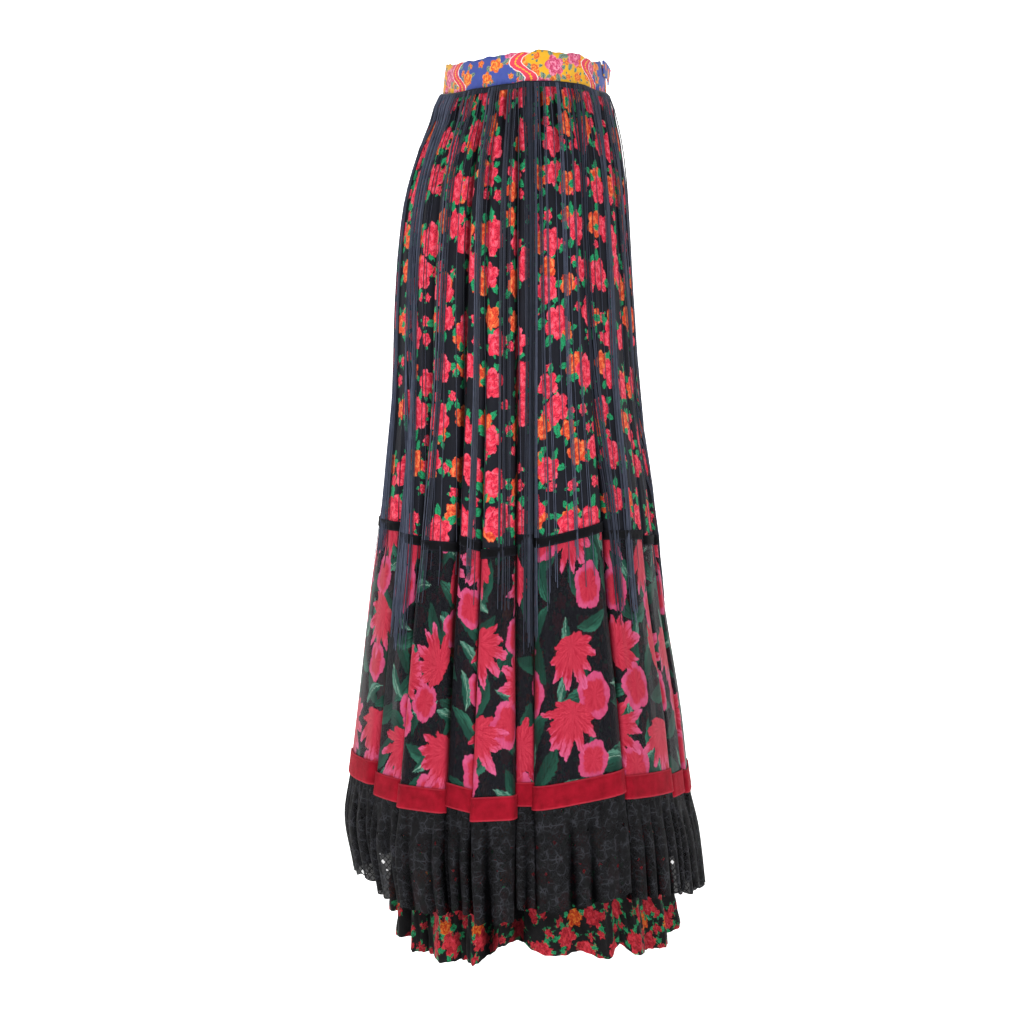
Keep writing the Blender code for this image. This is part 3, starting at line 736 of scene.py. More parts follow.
UPPER_CREPE = crepe_material("upper_printed_crepe", ("#13141A", "#1D1F29"), (
    Scatter(27.0, 11.0, 6.0, PINK_ROSE, 0.66),
    Scatter(52.0, 5.0, 13.0, ORANGE_ROSE, 0.88),
    Scatter(51.0, 31.0, 16.5, PINK_ROSE, 0.97),
), 2.0, 1.3)
UNDERSKIRT_CREPE = crepe_material("underskirt_crinkled_crepe", ("#09090A", "#121113"), (
    Scatter(19.0, 11.0, 4.8, RED_ROSE, 0.92),
    Scatter(49.0, 5.0, 9.5, DULL_ORANGE_ROSE, 0.38),
    Scatter(38.0, 31.0, 11.0, RED_ROSE, 0.90),
), 12.0, 2.6)
print("printed crepe:", len(UPPER_CREPE.node_tree.nodes), "nodes")

# %% [markdown]
# ## Sheer printed chiffon
# The lower tier is chiffon, a plain weave so open that light passes between its threads. Its print is
# large and painted with a brush: rounded flowers with a red heart, spiky ones that fan out downwards,
# and long leaf blades. Ink closes the weave, so flowers let through less light than the ground does.
# Each layer adds to a colour and to a cover, and the cover drives the cloth's opacity.

# %% The brushed flowers
PETAL_PINK = ("#C23A66", "#D65E8C")
PETAL_RED = ("#AE1B36", "#D03A50")
BLUNTNESS = 2.4


def brush_marks(tree, first, second, fine, long):
    """Streaks of noise, fine across one coordinate and long along the other."""
    across = add(tree, "Math", first, fine, operation="MULTIPLY")
    along = add(tree, "Math", second, 1.0 / long, operation="MULTIPLY")
    streaks = add(tree, "CombineXYZ", across, along, 0.0)
    return add(tree, "TexNoise", streaks, None, 1.0, 2.0, 0.6, noise_dimensions="2D").node.outputs["Fac"]


def blade_layer(tree, under, cover, place, spacing, shift, length, width, colours):
    """Lays one scatter of long bent leaves over a colour and its cover."""
    local, chance, _, _ = cell_space(tree, place, spacing, shift, 0.75)
    _, x, y = turned(tree, local, chance)
    square = add(tree, "Math", y, y, operation="MULTIPLY")
    x = add(tree, "Math", square, 0.45 / length, x, operation="MULTIPLY_ADD")
    ratio = add(tree, "Math", square, 4.0 / length**2, operation="MULTIPLY")
    half = add(tree, "Math", ratio, -0.5 * width, 0.5 * width, operation="MULTIPLY_ADD")
    aside = add(tree, "Math", x, operation="ABSOLUTE")
    leaf = inside(tree, aside, half, 0.4)
    streak = brush_marks(tree, x, y, 0.75, 34.0)
    lighter = add(tree, "Math", x, 0.035, streak, operation="MULTIPLY_ADD")
    lighter = add(tree, "MapRange", lighter, 0.5, 0.68, 0.0, 1.0)
    ink = add(tree, "MixRGB", lighter, linear(colours[0]), linear(colours[1]))
    rib = inside(tree, aside, 0.35, 0.3)
    ink = add(tree, "MixRGB", rib, ink, linear(colours[2]))
    cover = add(tree, "Math", cover, leaf, operation="MAXIMUM")
    return add(tree, "MixRGB", leaf, under, ink), cover


def round_flower_layer(tree, under, cover, place, spacing, shift, size, share):
    """Lays one scatter of blunt round flowers, pink outside with a red heart."""
    local, chance, second, third = cell_space(tree, place, spacing, shift, 0.62)
    slant = add(tree, "Math", chance, 0.16, -0.08, operation="MULTIPLY_ADD")
    local, x, y = turned(tree, local, slant)
    _, turn = polar(tree, local)
    powers = [
        add(tree, "Math", add(tree, "Math", value, operation="ABSOLUTE"), BLUNTNESS, operation="POWER")
        for value in (add(tree, "Math", x, 1.08, operation="MULTIPLY"), y)
    ]
    reach = add(tree, "Math", *powers, operation="ADD")
    reach = add(tree, "Math", reach, 1.0 / BLUNTNESS, operation="POWER")
    grown = add(tree, "Math", third, 0.25 * size, 0.80 * size, operation="MULTIPLY_ADD")
    outer = add(tree, "Math", lobes(tree, turn, 5, 0.90, 1.05), grown, operation="MULTIPLY")
    flower = inside(tree, reach, outer, 0.4)
    here = add(tree, "Math", second, share, operation="LESS_THAN")
    flower = add(tree, "Math", flower, here, operation="MULTIPLY")
    streak = brush_marks(tree, turn, reach, 24.0, 16.0)
    heart = add(tree, "Math", lobes(tree, turn, 4, 0.64, 0.76), grown, operation="MULTIPLY")
    brushed = add(tree, "Math", streak, 5.0, -2.5, operation="MULTIPLY_ADD")
    heart = add(tree, "Math", brushed, heart, operation="ADD")
    tone = add(tree, "MapRange", streak, 0.30, 0.80, 0.1, 0.8)
    pink = add(tree, "MixRGB", tone, linear(PETAL_PINK[0]), linear(PETAL_PINK[1]))
    red = add(tree, "MixRGB", tone, linear(PETAL_RED[0]), linear(PETAL_RED[1]))
    ink = add(tree, "MixRGB", inside(tree, reach, heart, 1.6), pink, red)
    cover = add(tree, "Math", cover, flower, operation="MAXIMUM")
    return add(tree, "MixRGB", flower, under, ink), cover


def fan_flower_layer(tree, under, cover, place, spacing, shift, size, share, lean):
    """Lays one scatter of flowers whose long ragged petals fan out downwards, red turning pink."""
    local, chance, second, _ = cell_space(tree, place, spacing, shift, 0.62)
    slant = add(tree, "Math", chance, lean, -0.5 * lean, operation="MULTIPLY_ADD")
    local, _, _ = turned(tree, local, slant)
    low = add(tree, "VectorMath", local, (0.0, 0.34 * size, 0.0), operation="ADD")
    reach, turn = polar(tree, low)
    facing = add(tree, "Math", add(tree, "SeparateXYZ", low).node.outputs[1], reach, operation="DIVIDE")
    spread = add(tree, "Math", facing, 0.46, 0.78, operation="MULTIPLY_ADD")
    tooth = add(tree, "Math", add(tree, "Math", turn, 26.0, operation="MULTIPLY"), 1.0, operation="PINGPONG")
    start = add(tree, "Math", chance, 31.0, operation="MULTIPLY")
    drawn = add(tree, "Math", turn, 15.0, start, operation="MULTIPLY_ADD")
    ragged = add(tree, "TexNoise", None, drawn, 1.0, 1.0, noise_dimensions="1D").node.outputs["Fac"]
    ragged = add(tree, "Math", ragged, 1.3, -1.0, operation="MULTIPLY_ADD")
    rough = add(tree, "Math", tooth, 0.75, ragged, operation="MULTIPLY_ADD")
    depth = add(tree, "MapRange", facing, -0.5, 0.4, 0.06, 0.62)
    edge = add(tree, "Math", rough, depth, 0.90, operation="MULTIPLY_ADD")
    edge = add(tree, "Math", edge, spread, operation="MULTIPLY")
    outer = add(tree, "Math", edge, size, operation="MULTIPLY")
    flower = inside(tree, reach, outer, 0.4)
    here = add(tree, "Math", second, share, operation="LESS_THAN")
    flower = add(tree, "Math", flower, here, operation="MULTIPLY")
    streak = brush_marks(tree, turn, reach, 80.0, 22.0)
    out = add(tree, "Math", reach, 1.0 / size, operation="MULTIPLY")
    out = add(tree, "Math", streak, 1.1, out, operation="MULTIPLY_ADD")
    tone = add(tree, "MapRange", streak, 0.35, 0.7, 0.0, 1.0)
    red = add(tree, "MixRGB", tone, linear(PETAL_RED[0]), linear(PETAL_RED[1]))
    out = add(tree, "MapRange", out, 1.40, 1.90, 0.0, 1.0)
    ink = add(tree, "MixRGB", out, red, linear(PETAL_PINK[1]))
    cover = add(tree, "Math", cover, flower, operation="MAXIMUM")
    return add(tree, "MixRGB", flower, under, ink), cover


# %% [markdown]
# The chiffon's ground is a navy so dark that it looks black. Three scatters of leaves, from dark to light,
# lie under the flowers, which were printed last. How closely the threads lie varies a little from place
# to place, and more so along the warp, so the cloth's opacity has faint upright streaks.

# %% Printed chiffon
CHIFFON_GROUND = "#0F0F17"
GROUND_OPACITY = 0.82
INK_OPACITY = 0.94

Blades = namedtuple("Blades", "spacing shift length width colours")
CHIFFON_BLADES = (
    Blades(61.0, 3.0, 58.0, 20.0, ("#0F352B", "#184A3B", "#0B2720")),
    Blades(70.0, 71.0, 54.0, 17.0, ("#134034", "#2F6B57", "#0C2C24")),
    Blades(73.0, 37.0, 44.0, 14.0, ("#14473A", "#5F9480", "#93B8A4")),
)


def chiffon_material():
    """Sheer chiffon, more closed under its printed leaves and flowers than between them."""
    material, tree, shader = new_material("lower_printed_chiffon", {"Roughness": 0.6, "Sheen Weight": 0.04})
    place, wavering = printed_place(tree, 1.3)
    colour, cover = linear(CHIFFON_GROUND), 0.0
    for blades in CHIFFON_BLADES:
        colour, cover = blade_layer(tree, colour, cover, wavering, *blades)
    colour, cover = round_flower_layer(tree, colour, cover, wavering, 92.0, 21.0, 25.0, 0.72)
    colour, cover = fan_flower_layer(tree, colour, cover, wavering, 97.0, 55.0, 37.0, 0.74, 0.7)
    # Painted shade in the hollows between folds.
    paint_hollow_shade(tree, shader, colour, 0.85)
    opacity = add(tree, "Math", cover, INK_OPACITY - GROUND_OPACITY, GROUND_OPACITY, operation="MULTIPLY_ADD")
    weave = add(tree, "TexNoise", place, None, 1.4, 2.0, 0.6).node.outputs["Fac"]
    warp = add(tree, "VectorMath", place, (0.55, 0.012, 0.0), operation="MULTIPLY")
    warp = add(tree, "TexNoise", warp, None, 1.0, 3.0, 0.6, noise_dimensions="2D").node.outputs["Fac"]
    closeness = add(tree, "Math", weave, warp, operation="ADD")
    closeness = add(tree, "Math", closeness, 0.24, -0.24, operation="MULTIPLY_ADD")
    opacity = add(tree, "Math", closeness, opacity, operation="ADD", use_clamp=True)
    tree.links.new(opacity, shader.inputs["Alpha"])
    tree.links.new(add(tree, "Bump", 0.25, 0.3 * MM, None, weave), shader.inputs["Normal"])
    return material


CHIFFON = chiffon_material()
print("printed chiffon:", len(CHIFFON.node_tree.nodes), "nodes")

# %% [markdown]
# ## The waistband's cotton print
# The band is a cotton scarf print, bright and busy. Its design here is a plain generic one: yellow and
# cobalt fields that take turns along the band, parted by wavy red stripes edged in white, with small
# roses and grey-green leaves over the fields and a row of yellow dots up each stripe. Cotton lawn is
# matt, and its threads, 0.35 mm apart, are drawn at 0.7 mm so that they show.

# %% Printed cotton
FIELD_LENGTH_MM = 92.0
STRIPE_HALF_MM = 6.5
STRIPE_EDGE_MM = 1.1
DOTS_MM = 5.2
BAND_THREAD_MM = 0.7
BAND_PINK = {
    "petal": "#DC4C78", "petal_warm": "#E66E97", "petal_light": "#F3AFC4", "petal_deep": "#B82350",
    "light_share": 0.7, "leaf": "#5F7A6A", "leaf_light": "#9DB3A2", "leaf_dark": "#33483F",
}
BAND_ORANGE = dict(
    BAND_PINK, petal="#EE6A24", petal_warm="#F58A2C", petal_light="#FFC55A", petal_deep="#CF3B24",
)
BAND_ROSES = (
    Scatter(17.0, 7.0, 3.6, BAND_ORANGE, 0.75),
    Scatter(31.0, 27.0, 6.5, BAND_ORANGE, 0.5),
    Scatter(38.0, 19.0, 8.6, BAND_ORANGE, 0.9),
    Scatter(40.0, 3.0, 10.6, BAND_PINK, 0.9),
)


def band_material(name, shift):
    """Printed cotton, whose design starts at a shift in millimetres along the band."""
    material, tree, shader = new_material(name, {"Roughness": 0.8, "Sheen Weight": 0.1})
    place, wavering = printed_place(tree, 0.6)
    moved = add(tree, "VectorMath", wavering, (shift, 0.0, 0.0), operation="ADD")
    parts = add(tree, "SeparateXYZ", moved).node
    along, across = parts.outputs[0], parts.outputs[1]
    sway = add(tree, "Math", add(tree, "Math", across, 0.16, operation="MULTIPLY"), operation="SINE")
    line = add(tree, "Math", sway, 9.0, along, operation="MULTIPLY_ADD")
    step = add(tree, "Math", line, 1.0 / FIELD_LENGTH_MM, operation="MULTIPLY")
    field = add(tree, "Math", step, 2.0, operation="FLOORED_MODULO")
    field = add(tree, "Math", field, 1.0, operation="GREATER_THAN")
    to_stripe = add(tree, "Math", step, 0.5, operation="PINGPONG")
    to_stripe = add(tree, "Math", to_stripe, FIELD_LENGTH_MM, operation="MULTIPLY")
    mottle = add(tree, "TexNoise", place, None, 0.15, 3.0, 0.6).node.outputs["Fac"]
    yellow = add(tree, "MixRGB", mottle, linear("#F2BC26"), linear("#E39F12"))
    blue = add(tree, "MixRGB", mottle, linear("#36479A"), linear("#4658A6"))
    colour = add(tree, "MixRGB", field, yellow, blue)
    for scatter in BAND_ROSES:
        colour = rose_layer(tree, colour, moved, *scatter)
    stripe = inside(tree, to_stripe, STRIPE_HALF_MM, 0.25)
    edge = inside(tree, to_stripe, STRIPE_HALF_MM + STRIPE_EDGE_MM, 0.25)
    red = add(tree, "MixRGB", mottle, linear("#D92747"), linear("#EE4A63"))
    to_dot = add(tree, "Math", across, 0.5 * DOTS_MM, operation="PINGPONG")
    to_dot = add(tree, "Math", to_dot, 0.25 * DOTS_MM, operation="SUBTRACT")
    dot = add(tree, "Math", add(tree, "Math", to_dot, operation="ABSOLUTE"), to_stripe, operation="ADD")
    red = add(tree, "MixRGB", inside(tree, dot, 1.4, 0.3), red, linear("#F7C22A"))
    colour = add(tree, "MixRGB", edge, colour, linear("#F6F1EA"))
    colour = add(tree, "MixRGB", stripe, colour, red)
    tree.links.new(colour, shader.inputs["Base Color"])
    threads = add(tree, "TexNoise", place, None, 1.0 / BAND_THREAD_MM, 2.0, 0.7).node.outputs["Fac"]
    tree.links.new(add(tree, "Bump", 0.3, 0.3 * MM, None, threads), shader.inputs["Normal"])
    return material


BAND_COTTON = band_material("waistband_printed_cotton", 13.0)
TAB_COTTON = band_material("tab_printed_cotton", 118.0)
print("printed cotton:", len(BAND_COTTON.node_tree.nodes), "nodes")

# %% [markdown]
# ## Velvet ribbon
# Velvet stands on end: a pile of short fibres that looks deep and dark when seen straight on and
# catches light at a glancing angle. Sheen does that. The pile leans in patches where the ribbon was
# pressed, so its colour varies in soft streaks, and the woven edges have no pile and are a little paler.

# %% Velvet
def velvet_material(name, deep, crest, edge_colour, sheen, ribbon_mm):
    """Velvet of a ribbon's width, whose pile leans in patches between two bare edges."""
    material, tree, shader = new_material(name, {
        "Roughness": 0.9, "Sheen Weight": sheen, "Sheen Roughness": 0.35, "Sheen Tint": linear(edge_colour),
    })
    place = flat_place(tree)
    across = add(tree, "SeparateXYZ", place).node.outputs[1]
    lean = add(tree, "TexNoise", place, None, 0.07, 4.0, 0.6).node.outputs["Fac"]
    pile = add(tree, "TexNoise", place, None, 1.6, 2.0, 0.8).node.outputs["Fac"]
    lean = add(tree, "Math", pile, 0.35, lean, operation="MULTIPLY_ADD")
    lean = add(tree, "MapRange", lean, 0.45, 0.90, 0.0, 1.0)
    colour = add(tree, "MixRGB", lean, linear(deep), linear(crest))
    to_edge = add(tree, "Math", across, 0.5 * ribbon_mm, operation="SUBTRACT")
    to_edge = add(tree, "Math", to_edge, operation="ABSOLUTE")
    selvedge = add(tree, "MapRange", to_edge, 0.5 * ribbon_mm - 1.5, 0.5 * ribbon_mm - 0.9, 0.0, 1.0)
    selvedge = add(tree, "Math", selvedge, 0.4, operation="MULTIPLY")
    colour = add(tree, "MixRGB", selvedge, colour, linear(edge_colour))
    # Painted shade in the hollows between folds.
    paint_hollow_shade(tree, shader, colour, 0.6)
    tree.links.new(add(tree, "Bump", 0.5, 0.5 * MM, None, pile), shader.inputs["Normal"])
    return material


RED_VELVET = velvet_material("red_velvet_ribbon", "#7C0719", "#AA1229", "#C43A4A", 0.4, 25.0)
BLACK_VELVET = velvet_material("black_velvet_ribbon", "#060608", "#101015", "#22222A", 0.2, 10.0)
print("velvet:", len(RED_VELVET.node_tree.nodes), "nodes each")

# %% [markdown]
# ## Corded lace
# The flounce is black machine lace: a diamond net, flowers worked densely into it in a half-drop
# repeat, and a thicker cord laid round each petal and along each stem. Fine tulle nearly fills most of
# the net's gaps. Every eleventh gap is thin in the material, and the same repeat, worked out in Python
# further down, takes the faces that lie wholly inside it out of the mesh.

# %% Lace
LACE_REPEAT_MM = 44.0
LACE_ROW_MM = 35.0
LACE_FLOWER_MM = 17.5
LACE_BUD_MM = 10.5
STEM_SWAY_MM = 5.0
NET_MM = 6.4
NET_THREAD_MM = 0.8
OPEN_EVERY = 11
TULLE_ALPHA = 0.95
OPEN_ALPHA = 0.45


def apart(tree, first, second):
    """How far apart two values are."""
    gap = add(tree, "Math", first, second, operation="SUBTRACT")
    return add(tree, "Math", gap, operation="ABSOLUTE")


def centred(tree, value, repeat):
    """A place within one repeat of the pattern, measured from the repeat's middle."""
    value = add(tree, "Math", value, repeat, operation="FLOORED_MODULO")
    return add(tree, "Math", value, 0.5 * repeat, operation="SUBTRACT")


def lace_material():
    """Black lace, solid where it is worked or corded. Its raised ribs are paler, partly from the threads' own
    tone and partly as a painted highlight, and its cords carry a painted highlight in patches.
    """
    material, tree, shader = new_material("black_corded_lace", {"Roughness": 0.8})
    _, wavering = printed_place(tree, 0.35)
    parts = add(tree, "SeparateXYZ", wavering).node
    u, v = parts.outputs[0], parts.outputs[1]
    row = add(tree, "Math", add(tree, "Math", v, LACE_ROW_MM, operation="DIVIDE"), operation="FLOOR")
    odd = add(tree, "Math", row, 2.0, operation="FLOORED_MODULO")
    u_shifted = add(tree, "Math", odd, 0.5 * LACE_REPEAT_MM, u, operation="MULTIPLY_ADD")
    x = centred(tree, u_shifted, LACE_REPEAT_MM)
    y = centred(tree, v, LACE_ROW_MM)
    reach, turn = polar(tree, add(tree, "CombineXYZ", x, y, 0.0))
    outer = add(tree, "Math", lobes(tree, turn, 6, 0.66, 1.0), LACE_FLOWER_MM, operation="MULTIPLY")
    worked = inside(tree, reach, outer, 0.2)
    aside = add(tree, "Math", u_shifted, 0.5 * LACE_REPEAT_MM, operation="ADD")
    aside = centred(tree, aside, LACE_REPEAT_MM)
    bud_reach, bud_turn = polar(tree, add(tree, "CombineXYZ", aside, y, 0.0))
    bud_outer = add(tree, "Math", lobes(tree, bud_turn, 4, 0.55, 1.0), LACE_BUD_MM, operation="MULTIPLY")
    worked = add(tree, "Math", worked, inside(tree, bud_reach, bud_outer, 0.2), operation="MAXIMUM")
    spoke = add(tree, "Math", add(tree, "Math", turn, 6 * math.pi, operation="MULTIPLY"), operation="SINE")
    spoke = add(tree, "Math", add(tree, "Math", spoke, operation="ABSOLUTE"), reach, operation="MULTIPLY")
    bare = add(tree, "Math", 1.0, worked, operation="SUBTRACT")
    spoke = add(tree, "Math", add(tree, "Math", spoke, bare, operation="ADD"), 0.4, operation="MULTIPLY")
    wave = add(tree, "Math", u, 2 * math.pi / LACE_REPEAT_MM, operation="MULTIPLY")
    wave = add(tree, "Math", wave, operation="SINE")
    stem = add(tree, "Math", wave, STEM_SWAY_MM, y, operation="MULTIPLY_ADD")
    stem = add(tree, "Math", add(tree, "Math", stem, operation="ABSOLUTE"), 0.25, operation="ADD")
    cord = apart(tree, reach, outer)
    bud_rim, heart = apart(tree, bud_reach, bud_outer), apart(tree, reach, 0.30 * LACE_FLOWER_MM)
    for line in (bud_rim, heart, spoke, stem):
        cord = add(tree, "Math", cord, line, operation="MINIMUM")
    cord = inside(tree, cord, 0.65, 0.25)

    threads, steps = [], []
    for sign in (1.0, -1.0):
        slant = add(tree, "Math", v, sign, u, operation="MULTIPLY_ADD")
        step = add(tree, "Math", slant, NET_MM, operation="DIVIDE")
        steps.append(add(tree, "Math", step, operation="FLOOR"))
        slant = add(tree, "Math", slant, 0.5 * NET_MM, operation="PINGPONG")
        threads.append(inside(tree, slant, NET_THREAD_MM, 0.15))
    net = add(tree, "Math", *threads, operation="MAXIMUM")
    gap = add(tree, "Math", steps[1], 2.0, steps[0], operation="MULTIPLY_ADD")
    gap = add(tree, "Math", gap, float(OPEN_EVERY), operation="FLOORED_MODULO")
    tulle = add(tree, "Math", gap, 0.5, operation="GREATER_THAN")
    tulle = add(tree, "Math", tulle, TULLE_ALPHA - OPEN_ALPHA, OPEN_ALPHA, operation="MULTIPLY_ADD")
    net = add(tree, "Math", net, tulle, operation="MAXIMUM")
    dense = add(tree, "Math", worked, 0.96, operation="MULTIPLY")
    solid = add(tree, "Math", add(tree, "Math", net, dense, operation="MAXIMUM"), cord, operation="MAXIMUM")
    tree.links.new(solid, shader.inputs["Alpha"])
    swirls = add(tree, "TexNoise", wavering, None, 0.11, 2.0, 0.5, noise_dimensions="2D").node.outputs["Fac"]
    swirls = add(tree, "Math", add(tree, "Math", swirls, 30.0, operation="MULTIPLY"), operation="SINE")
    swirls = add(tree, "MapRange", add(tree, "Math", swirls, operation="ABSOLUTE"), 0.1, 0.6, 1.0, 0.0)
    patchy = add(tree, "TexNoise", wavering, None, 0.09, 2.0, 0.6, noise_dimensions="2D").node.outputs["Fac"]
    patchy = add(tree, "MapRange", patchy, 0.38, 0.62, 0.0, 1.0)
    ribs = add(tree, "Math", swirls, patchy, operation="MULTIPLY")
    # The raised ribs are drawn paler: partly the threads' own tone, partly a painted highlight.
    ink = add(tree, "MixRGB", ribs, linear("#121214"), linear("#2C2D32"))
    # A painted highlight: in patches the raised cords are drawn paler, as where they catch the light.
    cord_highlight = add(tree, "Math", patchy, 0.7, operation="MULTIPLY")
    cord_highlight = add(tree, "Math", cord, cord_highlight, operation="MULTIPLY")
    colour = add(tree, "MixRGB", cord_highlight, ink, linear("#3C3D43"))
    # Painted shade in the hollows between folds.
    paint_hollow_shade(tree, shader, colour, 0.95)
    raised = add(tree, "Math", cord, 0.8, ribs, operation="MULTIPLY_ADD")
    tree.links.new(add(tree, "Bump", 0.5, 0.4 * MM, None, raised), shader.inputs["Normal"])
    return material


LACE = lace_material()
print("lace:", len(LACE.node_tree.nodes), "nodes")

# %% [markdown]
# ## Fringe cord and the cloth's wrong side
# The fringe is spun rayon cord in a dusty navy. Each strand takes the dye a little differently, so a
# random number for each one, stored as it is made, shades it. The twist, 2 mm from turn to turn, is too
# fine to show, and is drawn as a slow ripple. The underskirt's wrong side is the same crepe with the
# print showing faintly through.

# %% Cord and wrong side
RIPPLE_SCALE = 10.0


def cord_material():
    """Rayon cord in a navy that differs from strand to strand."""
    finish = {"Roughness": 0.6, "Specular IOR Level": 0.3, "Sheen Weight": 0.06}
    material, tree, shader = new_material("navy_rayon_cord", finish)
    tone = add(tree, "Attribute", attribute_name="strand_tone").node.outputs["Fac"]
    place = add(tree, "TexCoord").node.outputs["Object"]
    colour = add(tree, "MixRGB", tone, linear("#161B28"), linear("#5F677E"))
    fuzz = add(tree, "TexNoise", place, None, 90.0, 2.0, 0.6).node.outputs["Fac"]
    fuzz = add(tree, "MapRange", fuzz, 0.35, 0.75, 0.0, 0.4)
    colour = add(tree, "MixRGB", fuzz, colour, linear("#1C2130"))
    tree.links.new(colour, shader.inputs["Base Color"])
    twist = add(tree, "TexWave", place, RIPPLE_SCALE, 1.0, bands_direction="Z").node.outputs["Fac"]
    tree.links.new(add(tree, "Bump", 0.4, 0.2 * MM, None, twist), shader.inputs["Normal"])
    return material


def wrong_side_material():
    """The underskirt's inner face, where the print shows faintly through."""
    material, tree, shader = new_material("underskirt_wrong_side", {"Roughness": 0.85})
    place = flat_place(tree)
    cloud = add(tree, "TexNoise", place, None, 0.05, 4.0, 0.6).node.outputs["Fac"]
    cloud = add(tree, "MapRange", cloud, 0.4, 0.65, 0.0, 1.0)
    colour = add(tree, "MixRGB", cloud, linear("#3A3438"), linear("#6E565B"))
    pebble = add(tree, "TexNoise", place, None, 1.0 / CREPE_PEBBLE_MM, 2.0, 0.7).node.outputs["Fac"]
    pebble = add(tree, "MapRange", pebble, 0.3, 0.8, 0.0, 0.5)
    colour = add(tree, "MixRGB", pebble, colour, linear("#2A272C"))
    tree.links.new(colour, shader.inputs["Base Color"])
    return material


CORD = cord_material()
WRONG_SIDE = wrong_side_material()
print("materials:", sorted(m.name for m in bpy.data.materials if m.users or m.use_nodes))

# %% [markdown]
# ## The gathered upper tier
# A long rectangle of crepe is run up on gathering threads and drawn in to the waist. Its fullness makes
# crowded, uneven little gathers right under the band, which run together into fewer and softer folds as
# the cloth falls. Three sizes of gather, each dying out at its own depth, give that look. Front and back
# are cut apart and meet at two side seams.

# %% The upper tier
FRONT_COLUMNS = fold_columns(NEAR_SEAM_FOLD, FAR_SEAM_FOLD)
BACK_COLUMNS = fold_columns(FAR_SEAM_FOLD, NEAR_SEAM_FOLD)
ALL_COLUMNS = fold_columns(NEAR_SEAM_FOLD, NEAR_SEAM_FOLD)
UPPER_SPAN = (TIER_TOP, TIER_SEAM)
LOWER_SPAN = (TIER_SEAM, LOWER_HEM)
UPPER_PINCH = (0.05, 0.12)
LOWER_PINCH = (0.12, 0.22)


def upper_gathers(bearing, drop):
    """The upper tier's small gathers below the waist."""
    small = gathers(bearing, drop, 47, 2.8 * MM, 0.30, 11)
    small += gathers(bearing, drop, 73, 2.2 * MM, 0.13, 23)
    small += gathers(bearing, drop, 112, 1.5 * MM, 0.06, 37)
    small += gathers(bearing, drop, 61, 0.9 * MM, 2.00, 53)
    return small * ease(drop / 0.012)


def lower_gathers(bearing, drop):
    """The lower tier's small gathers below the seam between the tiers."""
    small = gathers(bearing, drop, 83, 1.4 * MM, 0.035, 71)
    small += gathers(bearing, drop, 37, 1.5 * MM, 0.16, 83)
    return small * ease(drop / 0.010)


UPPER_LEVELS = levels_between(TIER_TOP, TIER_SEAM, 96, 1.35)
UPPER_DROP = TIER_TOP - UPPER_LEVELS
for side, columns in (("front", FRONT_COLUMNS), ("back", BACK_COLUMNS)):
    points = tier_surface(columns, UPPER_LEVELS, UPPER_SPAN, TIER_FULLNESS, UPPER_PINCH, upper_gathers)
    across = run_along(points[-1])
    piece = add_piece(f"upper_tier_{side}_crepe", points, across, UPPER_DROP, UPPER_CREPE)
    declare(piece, [f"upper_tier_{side}"], (round(across[-1], 3), round(UPPER_DROP[-1], 3)))

# %% [markdown]
# ## The sheer lower tier
# Chiffon is limp, so below its seam it falls in deep folds whose edges turn sharply back on themselves.
# Pinching the columns together towards each valley undercuts the folds, which makes those sharp edges.

# %% The lower tier
LOWER_LEVELS = levels_between(TIER_SEAM - 0.3 * MM, LOWER_HEM, 60)
LOWER_DROP = LOWER_LEVELS[0] - LOWER_LEVELS
for side, columns in (("front", FRONT_COLUMNS), ("back", BACK_COLUMNS)):
    points = tier_surface(columns, LOWER_LEVELS, LOWER_SPAN, TIER_FULLNESS, LOWER_PINCH, lower_gathers)
    across = run_along(points[-1])
    piece = add_piece(f"lower_tier_{side}_chiffon", points, across, LOWER_DROP, CHIFFON)
    declare(piece, [f"lower_tier_{side}"], (round(across[-1], 3), round(LOWER_DROP[-1], 3)))

# %% [markdown]
# ## Two velvet ribbons
# Each ribbon is stitched flat over a seam of the chiffon and follows every fold of it. So its outer face
# is the chiffon's own surface at those heights, moved out by the ribbon's thickness.

# %% The ribbons
RIBBON_WALL = 1.1 * MM
RIBBON_GAP = 0.5 * MM
PUCKER_LENGTH = 0.019


def add_ribbon(name, top, width, material, node, puckers):
    """A ribbon over the lower tier, which its stitching puckers by this much."""
    heights = levels_between(top, top - width, 7)
    face = tier_surface(ALL_COLUMNS, heights, LOWER_SPAN, TIER_FULLNESS, LOWER_PINCH, lower_gathers)
    along = run_along(face[3])
    ripple = puckers * np.sin(along * 2 * math.pi / PUCKER_LENGTH + wander(along, 5, 1.0))
    face = face + (RIBBON_GAP + RIBBON_WALL + np.abs(ripple)[None, :, None]) * outward(face, ring=True)
    piece, length = add_strip(name, face, RIBBON_WALL, width, material)
    declare(piece, [node], (round(length, 3), width))


add_ribbon("black_velvet_seam_ribbon", LOWER_LEVELS[0], BLACK_RIBBON_WIDTH, BLACK_VELVET,
           "black_ribbon", 0.1 * MM)
add_ribbon("red_velvet_hem_ribbon", LOWER_HEM + RED_RIBBON_WIDTH, RED_RIBBON_WIDTH, RED_VELVET,
           "red_ribbon", 0.4 * MM)

# %% [markdown]
# ## The lace flounce
# The flounce is a strip of lace half as long again as the hem it is gathered on to, so it stands in
# flutes that widen downwards. Its net is real: wherever a whole face of the mesh lies in an open gap of
# the net, that face is left out. The same repeat as in the material decides it.

# %% The lace surface and its open faces
LACE_PER_DEGREE = 3.6
LACE_FLUTES = 58
SCALLOP_LENGTH = 0.023
SCALLOP_DEPTH = 3.0 * MM
OPEN_MARGIN_MM = 0.9
LACE_SPAN = (LOWER_HEM, LACE_HEM)
LACE_PINCH = (0.22, 0.17)


